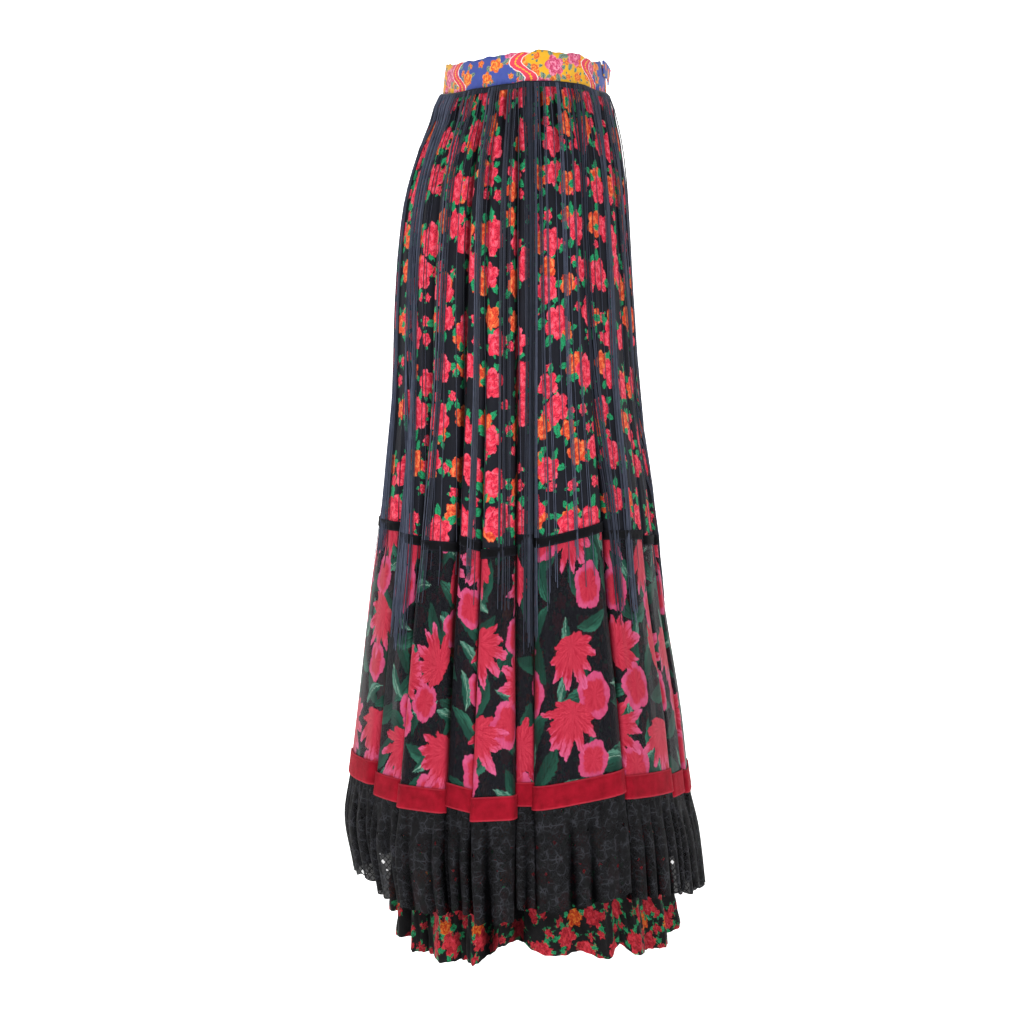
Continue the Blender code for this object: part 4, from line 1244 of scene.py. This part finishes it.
def lace_gathers(bearing, drop):
    """The lace's flutes, which deepen downwards, and the small gathers at its seam."""
    growth = ease(drop / 0.03) * (0.35 + 0.65 * drop / (LOWER_HEM - LACE_HEM))
    phase = LACE_FLUTES * bearing / 360 + wander(bearing / 360, 91, 0.30)
    depth = 7.5 * MM * (1 + wander(bearing / 360, 44, 0.16, 7))
    flutes = depth * growth * (1 - np.abs(np.sin(math.pi * phase)))
    return flutes + gathers(bearing, drop, 103, 2.4 * MM, 0.035, 97) * ease(drop / 0.004)


def lace_is_open(u, v):
    """Whether the lace has a clear gap at these millimetres of flat cloth."""
    row = np.floor(v / LACE_ROW_MM)
    x = (u + 0.5 * LACE_REPEAT_MM * (row % 2)) % LACE_REPEAT_MM - 0.5 * LACE_REPEAT_MM
    y = v % LACE_ROW_MM - 0.5 * LACE_ROW_MM
    angle = np.arctan2(y, x)
    outer = LACE_FLOWER_MM * (0.66 + 0.34 * np.abs(np.sin(3 * angle)))
    stem = np.abs(y + STEM_SWAY_MM * np.sin(2 * math.pi * u / LACE_REPEAT_MM))
    clear = (np.hypot(x, y) > outer + OPEN_MARGIN_MM) & (stem > OPEN_MARGIN_MM)
    aside = x - np.copysign(0.5 * LACE_REPEAT_MM, x)
    bud = LACE_BUD_MM * (0.55 + 0.45 * np.abs(np.sin(2 * np.arctan2(y, aside))))
    clear &= np.hypot(aside, y) > bud + OPEN_MARGIN_MM
    steps = []
    for sign in (1, -1):
        slant = (u + sign * v) % NET_MM
        steps.append(np.floor((u + sign * v) / NET_MM))
        clear &= np.minimum(slant, NET_MM - slant) > NET_THREAD_MM + 0.15
    return clear & ((steps[0] + 2 * steps[1]) % OPEN_EVERY < 0.5)


LACE_LEVELS = levels_between(LOWER_HEM - 0.3 * MM, LACE_HEM, 62)
LACE_DROP = LACE_LEVELS[0] - LACE_LEVELS
for side, first, last in (("front", NEAR_SEAM_FOLD, FAR_SEAM_FOLD), ("back", FAR_SEAM_FOLD, NEAR_SEAM_FOLD)):
    columns = fold_columns(first, last, LACE_PER_DEGREE)
    points = tier_surface(columns, LACE_LEVELS, LACE_SPAN, LACE_FULLNESS, LACE_PINCH, lace_gathers)
    across = run_along(points[-1])
    scallop = SCALLOP_DEPTH * np.abs(np.sin(across * math.pi / SCALLOP_LENGTH))
    points[..., 2] -= scallop[None, :] * (LACE_DROP / LACE_DROP[-1])[:, None] ** 6
    u, v = np.meshgrid(1000 * across, 1000 * LACE_DROP)
    open_corner = lace_is_open(u, v)
    kept = ~(open_corner[:-1, :-1] & open_corner[1:, :-1] & open_corner[:-1, 1:] & open_corner[1:, 1:])
    piece = add_piece(f"lace_flounce_{side}_lace", points, across, LACE_DROP, LACE, kept)
    declare(piece, [f"lace_flounce_{side}"], (round(across[-1], 3), round(LACE_DROP[-1], 3)))
    print("  open faces:", int((~kept).sum()))

# %% [markdown]
# ## The underskirt
# The underskirt is a separate skirt of crinkled crepe with its own twenty-two folds. Only its hem shows,
# so its rows are crowded there, and the hem ends in a narrow roll. A Solidify modifier gives the cloth
# its thickness, with the wrong side as a second material on the inner face.

# %% The underskirt
UNDERSKIRT_FOLDS = 22
UNDERSKIRT_FOLD_DEPTH = 17 * MM
UNDERSKIRT_VALLEY_RISE = 4 * MM
UNDERSKIRT_UNEVENNESS = 2.6
UNDERSKIRT_STEPS = 32
UNDERSKIRT_WALL = 0.7 * MM
HEM_ROLL = 0.9 * MM
HEM_FALL_FROM = -0.700
HEM_ROWS_FROM = -0.80
ROLL_STEPS = 5


def underskirt_points(first_fold, folds, heights):
    """The underskirt's right side over a run of its folds, at each height."""
    turn = first_fold + np.arange(folds * UNDERSKIRT_STEPS + 1) / UNDERSKIRT_STEPS
    level, turn = np.meshgrid(heights, turn, indexing="ij")
    bearing = FOLDS[NEAR_SEAM_FOLD].start + 360 * turn / UNDERSKIRT_FOLDS
    opening = (UNDERSKIRT_TOP - level) / (UNDERSKIRT_TOP - UNDERSKIRT_HEM)
    swing = np.sin(np.radians(3 * bearing)) + 0.7 * np.sin(np.radians(7 * bearing))
    valley = 0.5 * (1 + np.cos(2 * math.pi * turn))
    depth = UNDERSKIRT_FOLD_DEPTH * (0.75 + 0.25 * np.sin(np.radians(5 * bearing)))
    share = bearing / 360
    bend = 0.5 * np.sin(31 * level + 5 * share)
    crinkle = np.sin(2 * math.pi * (67 * share + wander(share, 3, 0.4) + bend))
    crinkle += 0.7 * np.sin(2 * math.pi * (113 * share + wander(share, 8, 0.4) + 0.7 * np.sin(47 * level)))
    crinkle += 0.5 * np.sin(2 * math.pi * (29 * share) + 260 * level)
    inset = depth * opening**1.6 * valley + 0.9 * MM * (1 + crinkle) * ease(opening / 0.3)
    points = on_outline(UNDERSKIRT_SECTIONS, bearing + UNDERSKIRT_UNEVENNESS * swing * opening, level, inset)
    fall = np.clip((HEM_FALL_FROM - level) / (HEM_FALL_FROM - UNDERSKIRT_HEM), 0, 1)
    hem = UNDERSKIRT_VALLEY_RISE * valley - round_the_body(HEM_DIPS, bearing)
    hem = hem + 0.5 * MM * crinkle
    points[..., 2] += hem * fall
    waist = round_the_body(WAIST_DIPS, bearing)
    points[..., 2] -= waist * ease((level + 0.110) / (0.110 - 0.018))
    return points


def rolled_hem(points, radius, steps):
    """The extra rows that roll the bottom edge inwards and up on itself."""
    out = outward(points)[-1]
    rows = []
    for step in range(1, steps + 1):
        angle = 1.4 * math.pi * step / steps
        rows.append(points[-1] - radius * ((1 - math.cos(angle)) * out + [0, 0, math.sin(angle)]))
    return np.stack(rows)


HEM_LEVELS = np.concatenate([
    levels_between(UNDERSKIRT_TOP, HEM_ROWS_FROM, 26)[:-1],
    levels_between(HEM_ROWS_FROM, UNDERSKIRT_HEM, 34),
])
HALF = UNDERSKIRT_FOLDS // 2
for side, first_fold in (("front", 0), ("back", HALF)):
    points = underskirt_points(first_fold, HALF, HEM_LEVELS)
    points = np.concatenate([points, rolled_hem(points, HEM_ROLL, ROLL_STEPS)])
    across = run_along(points[-ROLL_STEPS - 1])
    roll = HEM_LEVELS[0] - UNDERSKIRT_HEM + HEM_ROLL * np.arange(1, ROLL_STEPS + 1)
    down = np.concatenate([HEM_LEVELS[0] - HEM_LEVELS, roll])
    piece = add_piece(f"underskirt_{side}_crepe", points, across, down, UNDERSKIRT_CREPE)
    piece.data.materials.append(WRONG_SIDE)
    wall = piece.modifiers.new("cloth_thickness", "SOLIDIFY")
    wall.thickness = UNDERSKIRT_WALL
    wall.offset = -1.0
    wall.material_offset = 1
    declare(piece, [f"underskirt_{side}"], (round(across[-1], 3), round(down[-1], 3)))

# %% [markdown]
# ## The waistband and its tab
# The band is a folded strip of cotton that the tiers are sewn into. The gathers pull on it, so it
# puckers, most of all at its foot, and its top edge isn't quite level. The tab is its lapped end, whose
# free corner stands away.

# %% The waistband and its tab
BAND_WALL = 2.2 * MM
BAND_RIPPLE = 0.5 * MM
BAND_RIPPLES = 20
BAND_PUCKER = 0.5 * MM
BAND_CROWN = 0.6 * MM
TAB_START, TAB_END = 162.0, 186.0
TAB_TOP, TAB_FOOT = 0.020, 0.003
TAB_FLARE = 5.5 * MM
TAB_WALL = 1.5 * MM
TAB_DROOP = 5 * MM

bearing = np.linspace(0.0, 360.0, 721)[None, :]
level = np.linspace(BAND_TOP, BAND_FOOT, 12)[:, None]
toward_foot = (BAND_TOP - level) / (BAND_TOP - BAND_FOOT)
inset = BAND_RIPPLE * (1 + np.sin(np.radians(BAND_RIPPLES * bearing)))
puckers = 1 + np.sin(2 * math.pi * (83 * bearing / 360 + wander(bearing / 360, 6, 0.5)))
inset = inset + BAND_PUCKER * toward_foot**2 * puckers
crown = BAND_CROWN * (1 - (2 * toward_foot - 1) ** 2)
points = on_outline(BAND_SECTIONS, bearing + 0 * level, level + 0 * bearing, inset - crown)
points[..., 2] += settled(bearing, level)
edge_wave = wander(bearing / 360, 13, 0.7 * MM, 9) + 0.4 * MM * np.sin(2 * math.pi * 41 * bearing / 360)
points[..., 2] += (edge_wave - 0.3 * MM) * (1 - toward_foot) ** 3
band, band_length = add_strip("waistband_cotton", points, BAND_WALL, BAND_TOP - BAND_FOOT, BAND_COTTON)
declare(band, ["waistband"], (round(band_length, 3), BAND_TOP - BAND_FOOT))

bearing = np.linspace(TAB_START, TAB_END, 25)[None, :]
level = np.linspace(TAB_TOP, TAB_FOOT, 9)[:, None]
toward_foot = (TAB_TOP - level) / (TAB_TOP - TAB_FOOT)
along = (bearing - TAB_START) / (TAB_END - TAB_START)
out = BAND_RIPPLE + 0.5 * MM + TAB_WALL + TAB_FLARE * (1 - 0.6 * toward_foot) * 1.1 * along**2.2
points = on_outline(BAND_SECTIONS, bearing + 0 * level, np.minimum(level, BAND_TOP) + 0 * bearing, -out)
points[..., 2] = level + settled(bearing, level) - TAB_DROOP * along**2
tab_width = TAB_TOP - TAB_FOOT
tab, tab_length = add_strip("waistband_lapped_tab", points, TAB_WALL, tab_width, TAB_COTTON, ring=False)
declare(tab, ["waistband_tab"], (round(tab_length, 3), tab_width))

# %% [markdown]
# ## The long fringe
# Nearly five hundred cords hang from a narrow tape sewn under the band. Handled and worn, they cling
# together in bunches with bare cloth between, and a few hang loose. A cord in a bunch keeps its place
# among its neighbours from the tape down, so cords draw together without crossing. A table gives each
# bunch's bearing, how many degrees it drifts round on the way down, its number of cords, half its width
# at the foot and at the top in degrees, how far below the waist it ends in millimetres, and how much
# lighter or darker than the rest it is.

# %% Where each cord hangs
Bunch = namedtuple("Bunch", "bearing drift cords foot top end tone", defaults=[0.0])
BUNCHES = (
    Bunch(14, 7, 30, 4.0, 8.5, 548, 0.2),
    Bunch(31, 8, 40, 4.8, 9.5, 634, 0.15),
    Bunch(52, -2, 11, 2.2, 6.0, 575),
    Bunch(69.4, 0, 13, 1.3, 3.8, 560),
    Bunch(82, 0, 8, 2.8, 3.6, 575),
    Bunch(93.6, -0.6, 36, 2.7, 4.6, 634, -0.25),
    Bunch(100, 1, 5, 1.8, 2.6, 590),
    Bunch(112, -1, 4, 2.8, 3.4, 562),
    Bunch(125, 5, 16, 2.2, 5.5, 612, -0.15),
    Bunch(141, -3, 15, 2.6, 5.4, 612),
    Bunch(158, 17, 15, 3.6, 6.5, 570, 0.1),
    Bunch(175, 12, 18, 3.8, 6.0, 600),
    Bunch(194, 5, 18, 3.6, 6.0, 585),
    Bunch(211, 0, 22, 3.2, 5.0, 612),
    Bunch(228, 0, 16, 2.8, 4.5, 578),
    Bunch(246, 0, 20, 2.6, 4.0, 590),
    Bunch(263, 0, 22, 2.4, 4.0, 622),
    Bunch(281, 0, 18, 2.6, 4.5, 572),
    Bunch(300, -2, 20, 3.0, 5.0, 600),
    Bunch(319, -3, 20, 3.2, 6.5, 585),
    Bunch(338, -5, 20, 3.4, 7.0, 610),
    Bunch(356, -6, 16, 3.4, 7.0, 560),
)
CORDS_PER_CLUMP = 3
CLUMPING = 0.55
LOOSE_CORDS = 72
LOOSE_END = 575
CORD_POINTS = 26
FRINGE_TOP = TIER_TOP
VALLEY_FOLLOWED = 0.9
OVER_CLOTH = 0.7 * MM
OVER_TAPE = 0.9 * MM

random = np.random.default_rng(2024)
cord_top, cord_foot, cord_drift, cord_end, cord_bunch, cord_tone = [], [], [], [], [], []
for number, bunch in enumerate(BUNCHES):
    count = bunch.cords
    clump = np.arange(count) // CORDS_PER_CLUMP
    place = np.linspace(-1, 1, count) + random.uniform(-1, 1, count) / count
    middle = np.array([place[clump == member].mean() for member in clump])
    place += CLUMPING * (middle - place) + (0.9 / count * random.uniform(-1, 1, count))[clump]
    place *= 0.62 + 0.38 * place**2
    clumps = random.random(count)[clump]
    cord_top.append(bunch.bearing + bunch.top * place)
    cord_foot.append(bunch.bearing + bunch.foot * place)
    cord_drift.append(np.full(count, float(bunch.drift)))
    cord_end.append(np.full(count, float(bunch.end)))
    cord_bunch.append(np.full(count, number))
    tone = bunch.tone + 0.15 * random.random() + 0.55 * clumps**1.4 + 0.30 * random.random(count)
    cord_tone.append(np.clip(tone, 0, 1))
place = np.arange(LOOSE_CORDS) * 360 / LOOSE_CORDS + random.uniform(-2, 2, LOOSE_CORDS)
cord_top.append(place)
cord_foot.append(place + random.uniform(-1.5, 1.5, LOOSE_CORDS))
cord_drift.append(np.interp(place % 360, [0, 40, 140, 180, 220, 360], [7, 4, -2, 8, 2, 0]))
cord_end.append(np.full(LOOSE_CORDS, float(LOOSE_END)))
cord_bunch.append(np.full(LOOSE_CORDS, len(BUNCHES)))
cord_tone.append(0.7 * random.random(LOOSE_CORDS))
cord_top, cord_foot, cord_drift, cord_end, cord_bunch, cord_tone = (
    np.concatenate(column) for column in (cord_top, cord_foot, cord_drift, cord_end, cord_bunch, cord_tone)
)
CORDS = len(cord_top)
cord_end = -MM * cord_end + random.uniform(-4 * MM, 34 * MM, CORDS) + 60 * MM * (random.random(CORDS) > 0.93)

# %% [markdown]
# A cord lies on the crests of the folds beneath it and bridges the valleys, in a bundle a few cords
# deep. It sways a little on the way down. The path of each is a line of points here, and a Geometry
# Nodes tree turns every line into a three-sided cord.

# %% The path of each cord
down = np.linspace(0.0, 1.0, CORD_POINTS)[None, :] ** 1.15
height = FRINGE_TOP + (cord_end[:, None] - FRINGE_TOP) * down
fallen = FRINGE_TOP - height
drawn = ease(fallen / 0.11) * 0.85 + 0.15 * ease(fallen / 0.45)
drift = (cord_foot - cord_top)[:, None] * drawn + cord_drift[:, None] * ease((fallen - 0.16) / 0.42)
swing = random.uniform(-1, 1, (CORDS, 1))
pace = random.uniform(4, 9, (CORDS, 1))
sway = swing * np.sin(pace * fallen + random.uniform(0, 6.3, (CORDS, 1)))
bunch_sway = 0.5 * np.sin(7 * fallen + random.uniform(0, 6.3, len(BUNCHES) + 1)[cord_bunch][:, None])
bearing = cord_top[:, None] + drift + (0.25 * sway + bunch_sway) * ease(fallen / 0.15)
layer = random.uniform(0.0, 1.0, (CORDS, 1)) * (0.6 + 0.4 * ease(fallen / 0.10)) * MM
layer[cord_bunch == len(BUNCHES)] *= 0.2
fold, share = span_of([fold.start for fold in FOLDS], bearing)
lower_down = np.clip((TIER_SEAM - height) / (TIER_SEAM - LOWER_HEM), 0, 1)
pinch = np.where(
    height > TIER_SEAM,
    UPPER_PINCH[0] + (UPPER_PINCH[1] - UPPER_PINCH[0]) * fallen / (TIER_TOP - TIER_SEAM),
    LOWER_PINCH[0] + (LOWER_PINCH[1] - LOWER_PINCH[0]) * lower_down,
)
on_cloth = share
for _ in range(12):
    on_cloth = share + pinch * np.sin(2 * math.pi * on_cloth)
_, valley, wave = fold_shape(fold, on_cloth, 0.0)
strength, gather = np.moveaxis(curve_through(TIER_FULLNESS, height), -1, 0)
below_seam = lower_gathers(bearing, TIER_SEAM - height)
gathered = np.where(height > TIER_SEAM, upper_gathers(bearing, fallen), below_seam)
inset = strength * valley + gather * 0.5 * (1 + np.cos(2 * math.pi * wave)) + gathered
inset = VALLEY_FOLLOWED * inset * ease(fallen / 0.05)
over_tape = OVER_TAPE * (1 - ease(fallen / 0.03))
points = on_outline(CLOTH_SECTIONS, bearing, height, inset - OVER_CLOTH - over_tape - layer)
points[..., 2] += settled(bearing, height, fold + share)

lines = bpy.data.meshes.new("cord_paths")
index = np.arange(CORDS * CORD_POINTS).reshape(CORDS, CORD_POINTS)
edges = np.stack([index[:, :-1], index[:, 1:]], axis=-1).reshape(-1, 2)
lines.from_pydata(points.reshape(-1, 3).tolist(), edges.tolist(), [])
tones = lines.attributes.new("strand_tone", "FLOAT", "POINT")
tones.data.foreach_set("value", np.repeat(cord_tone, CORD_POINTS).astype(np.float32))
fringe = bpy.data.objects.new("fringe_cords", lines)
bpy.context.scene.collection.objects.link(fringe)
print("cords:", CORDS, "longest", round(float(-height.min()), 3), "m below the waist")


# %% Cords from lines, in Geometry Nodes
def cord_tree(material):
    """A tree that sweeps a small triangle of uneven size along every line."""
    tree = bpy.data.node_groups.new("cords_from_lines", "GeometryNodeTree")
    for name, kind, socket, value in (
        ("Geometry", "INPUT", "NodeSocketGeometry", None),
        ("Cord radius", "INPUT", "NodeSocketFloat", 0.4 * MM),
        ("Uneven radius", "INPUT", "NodeSocketFloat", 0.2 * MM),
        ("Seed", "INPUT", "NodeSocketInt", 7),
        ("Geometry", "OUTPUT", "NodeSocketGeometry", None),
    ):
        item = tree.interface.new_socket(name, in_out=kind, socket_type=socket)
        if value is not None:
            item.default_value = value
    inputs = tree.nodes.new("NodeGroupInput")
    to_curve = tree.nodes.new("GeometryNodeMeshToCurve")
    uneven = tree.nodes.new("FunctionNodeRandomValue")
    radius = tree.nodes.new("ShaderNodeMath")
    profile = tree.nodes.new("GeometryNodeCurvePrimitiveCircle")
    sweep = tree.nodes.new("GeometryNodeCurveToMesh")
    smooth = tree.nodes.new("GeometryNodeSetShadeSmooth")
    realise = tree.nodes.new("GeometryNodeRealizeInstances")
    finish = tree.nodes.new("GeometryNodeSetMaterial")
    output = tree.nodes.new("NodeGroupOutput")
    uneven.data_type = "FLOAT"
    radius.operation = "ADD"
    profile.inputs["Resolution"].default_value = 3
    profile.inputs["Radius"].default_value = 1.0
    sweep.inputs["Fill Caps"].default_value = True
    finish.inputs["Material"].default_value = material
    for a, b in (
        (inputs.outputs["Geometry"], to_curve.inputs["Mesh"]),
        (inputs.outputs["Uneven radius"], uneven.inputs[3]),
        (inputs.outputs["Seed"], uneven.inputs["Seed"]),
        (uneven.outputs[1], radius.inputs[0]),
        (inputs.outputs["Cord radius"], radius.inputs[1]),
        (to_curve.outputs["Curve"], sweep.inputs["Curve"]),
        (radius.outputs[0], sweep.inputs["Scale"]),
        (profile.outputs["Curve"], sweep.inputs["Profile Curve"]),
        (sweep.outputs["Mesh"], smooth.inputs["Geometry"]),
        (smooth.outputs["Geometry"], realise.inputs["Geometry"]),
        (realise.outputs["Geometry"], finish.inputs["Geometry"]),
        (finish.outputs["Geometry"], output.inputs["Geometry"]),
    ):
        tree.links.new(a, b)
    return tree


def grow(piece, tree, **sizes):
    """Runs a node tree on a piece with these named sizes and keeps its result as a plain mesh."""
    modifier = piece.modifiers.new(tree.name, "NODES")
    modifier.node_group = tree
    for item in tree.interface.items_tree:
        if item.in_out == "INPUT" and item.name.replace(" ", "_").lower() in sizes:
            modifier[item.identifier] = sizes[item.name.replace(" ", "_").lower()]
    graph = bpy.context.evaluated_depsgraph_get()
    mesh = bpy.data.meshes.new_from_object(piece.evaluated_get(graph), depsgraph=graph)
    piece.modifiers.clear()
    mesh.name = piece.name
    piece.data = mesh
    return piece


grow(fringe, cord_tree(CORD), cord_radius=0.40 * MM, uneven_radius=0.2 * MM, seed=7)
bearing = np.linspace(0.0, 360.0, 361)[None, :]
level = np.linspace(FRINGE_TOP + 1.5 * MM, FRINGE_TOP - 4.5 * MM, 4)[:, None]
level_below = np.minimum(level, TIER_TOP) + 0 * bearing
points = on_outline(CLOTH_SECTIONS, bearing + 0 * level, level_below, -1.2 * MM)
points[..., 2] = level + settled(bearing, level)
tape, _ = add_strip("fringe_tape", points, 0.8 * MM, 6 * MM, CORD)
declare(fringe, ["fringe"])
declare(tape, ["fringe"])

# %% [markdown]
# ## Floor, light and camera
# The skirt stands out on plain white under soft studio light. A large soft light high at the front left
# is the key, a second fills from the right, and the white surroundings lift the shadows. The camera is at
# the wearer's right, level with the upper tier, with a long lens, so that the skirt fills the frame from
# waist to hem. The floor lies well under the hem.

# %% Floor, light and camera
FLOOR_LEVEL = -1.30
CAMERA_PLACE = (-3.0, 0.0, -0.386)
CAMERA_TARGET = (0.0, 0.0137, -0.491)
CAMERA_LENS_MM = 92.39
FLOOR_SIZE = 90.0
BACKDROP_SIZE = 24.0
SURROUND_STRENGTH = 0.17
LAMP_TARGET = (0.0, 0.0, -0.45)


def matt_white(name):
    """Plain paper that glows a little, so that it stays white where no lamp reaches."""
    glow = {"Roughness": 0.9, "Emission Color": linear("#FFFFFF"), "Emission Strength": 0.9}
    material, tree, shader = new_material(name, glow)
    place = add(tree, "TexCoord").node.outputs["Object"]
    cloud = add(tree, "TexNoise", place, None, 1.5, 2.0).node.outputs["Fac"]
    paper = add(tree, "MixRGB", cloud, linear("#FCFCFC"), linear("#FFFFFF"))
    tree.links.new(paper, shader.inputs["Base Color"])
    return material


FLOOR_PAPER = matt_white("floor_white_paper")
bpy.ops.mesh.primitive_plane_add(size=FLOOR_SIZE, location=(0, 0, FLOOR_LEVEL))
floor = bpy.context.object
floor.name = "studio_floor"
floor.data.materials.append(FLOOR_PAPER)
upright = (0.0, -0.5 * math.pi, 0.0)
bpy.ops.mesh.primitive_plane_add(size=BACKDROP_SIZE, location=(8.0, 0, 0), rotation=upright)
backdrop = bpy.context.object
backdrop.name = "studio_backdrop"
backdrop.data.materials.append(FLOOR_PAPER)

world = bpy.data.worlds.new("studio_white")
bpy.context.scene.world = world
world.use_nodes = True
world.node_tree.nodes["Background"].inputs["Color"].default_value = linear("#FFFFFF")
world.node_tree.nodes["Background"].inputs["Strength"].default_value = SURROUND_STRENGTH


def soft_light(name, place, size, watts):
    """A square soft light that faces the middle of the skirt."""
    light = bpy.data.lights.new(name, "AREA")
    light.shape = "SQUARE"
    light.size = size
    light.energy = watts
    lamp = bpy.data.objects.new(name, light)
    lamp.location = place
    aim = Vector(LAMP_TARGET) - lamp.location
    lamp.rotation_euler = aim.to_track_quat("-Z", "Y").to_euler()
    bpy.context.scene.collection.objects.link(lamp)


soft_light("key_softbox", (-2.9, 1.0, 0.9), 0.9, 48.0)
soft_light("fill_softbox", (-2.4, -2.2, 0.1), 1.6, 15.0)

camera = bpy.data.cameras.new("catalogue_camera")
camera.lens = CAMERA_LENS_MM
camera.sensor_width = 36.0
eye = bpy.data.objects.new("catalogue_camera", camera)
eye.location = CAMERA_PLACE
eye.rotation_euler = (Vector(CAMERA_TARGET) - eye.location).to_track_quat("-Z", "Y").to_euler()
bpy.context.scene.collection.objects.link(eye)
bpy.context.scene.camera = eye
bpy.context.scene.view_settings.view_transform = "Standard"
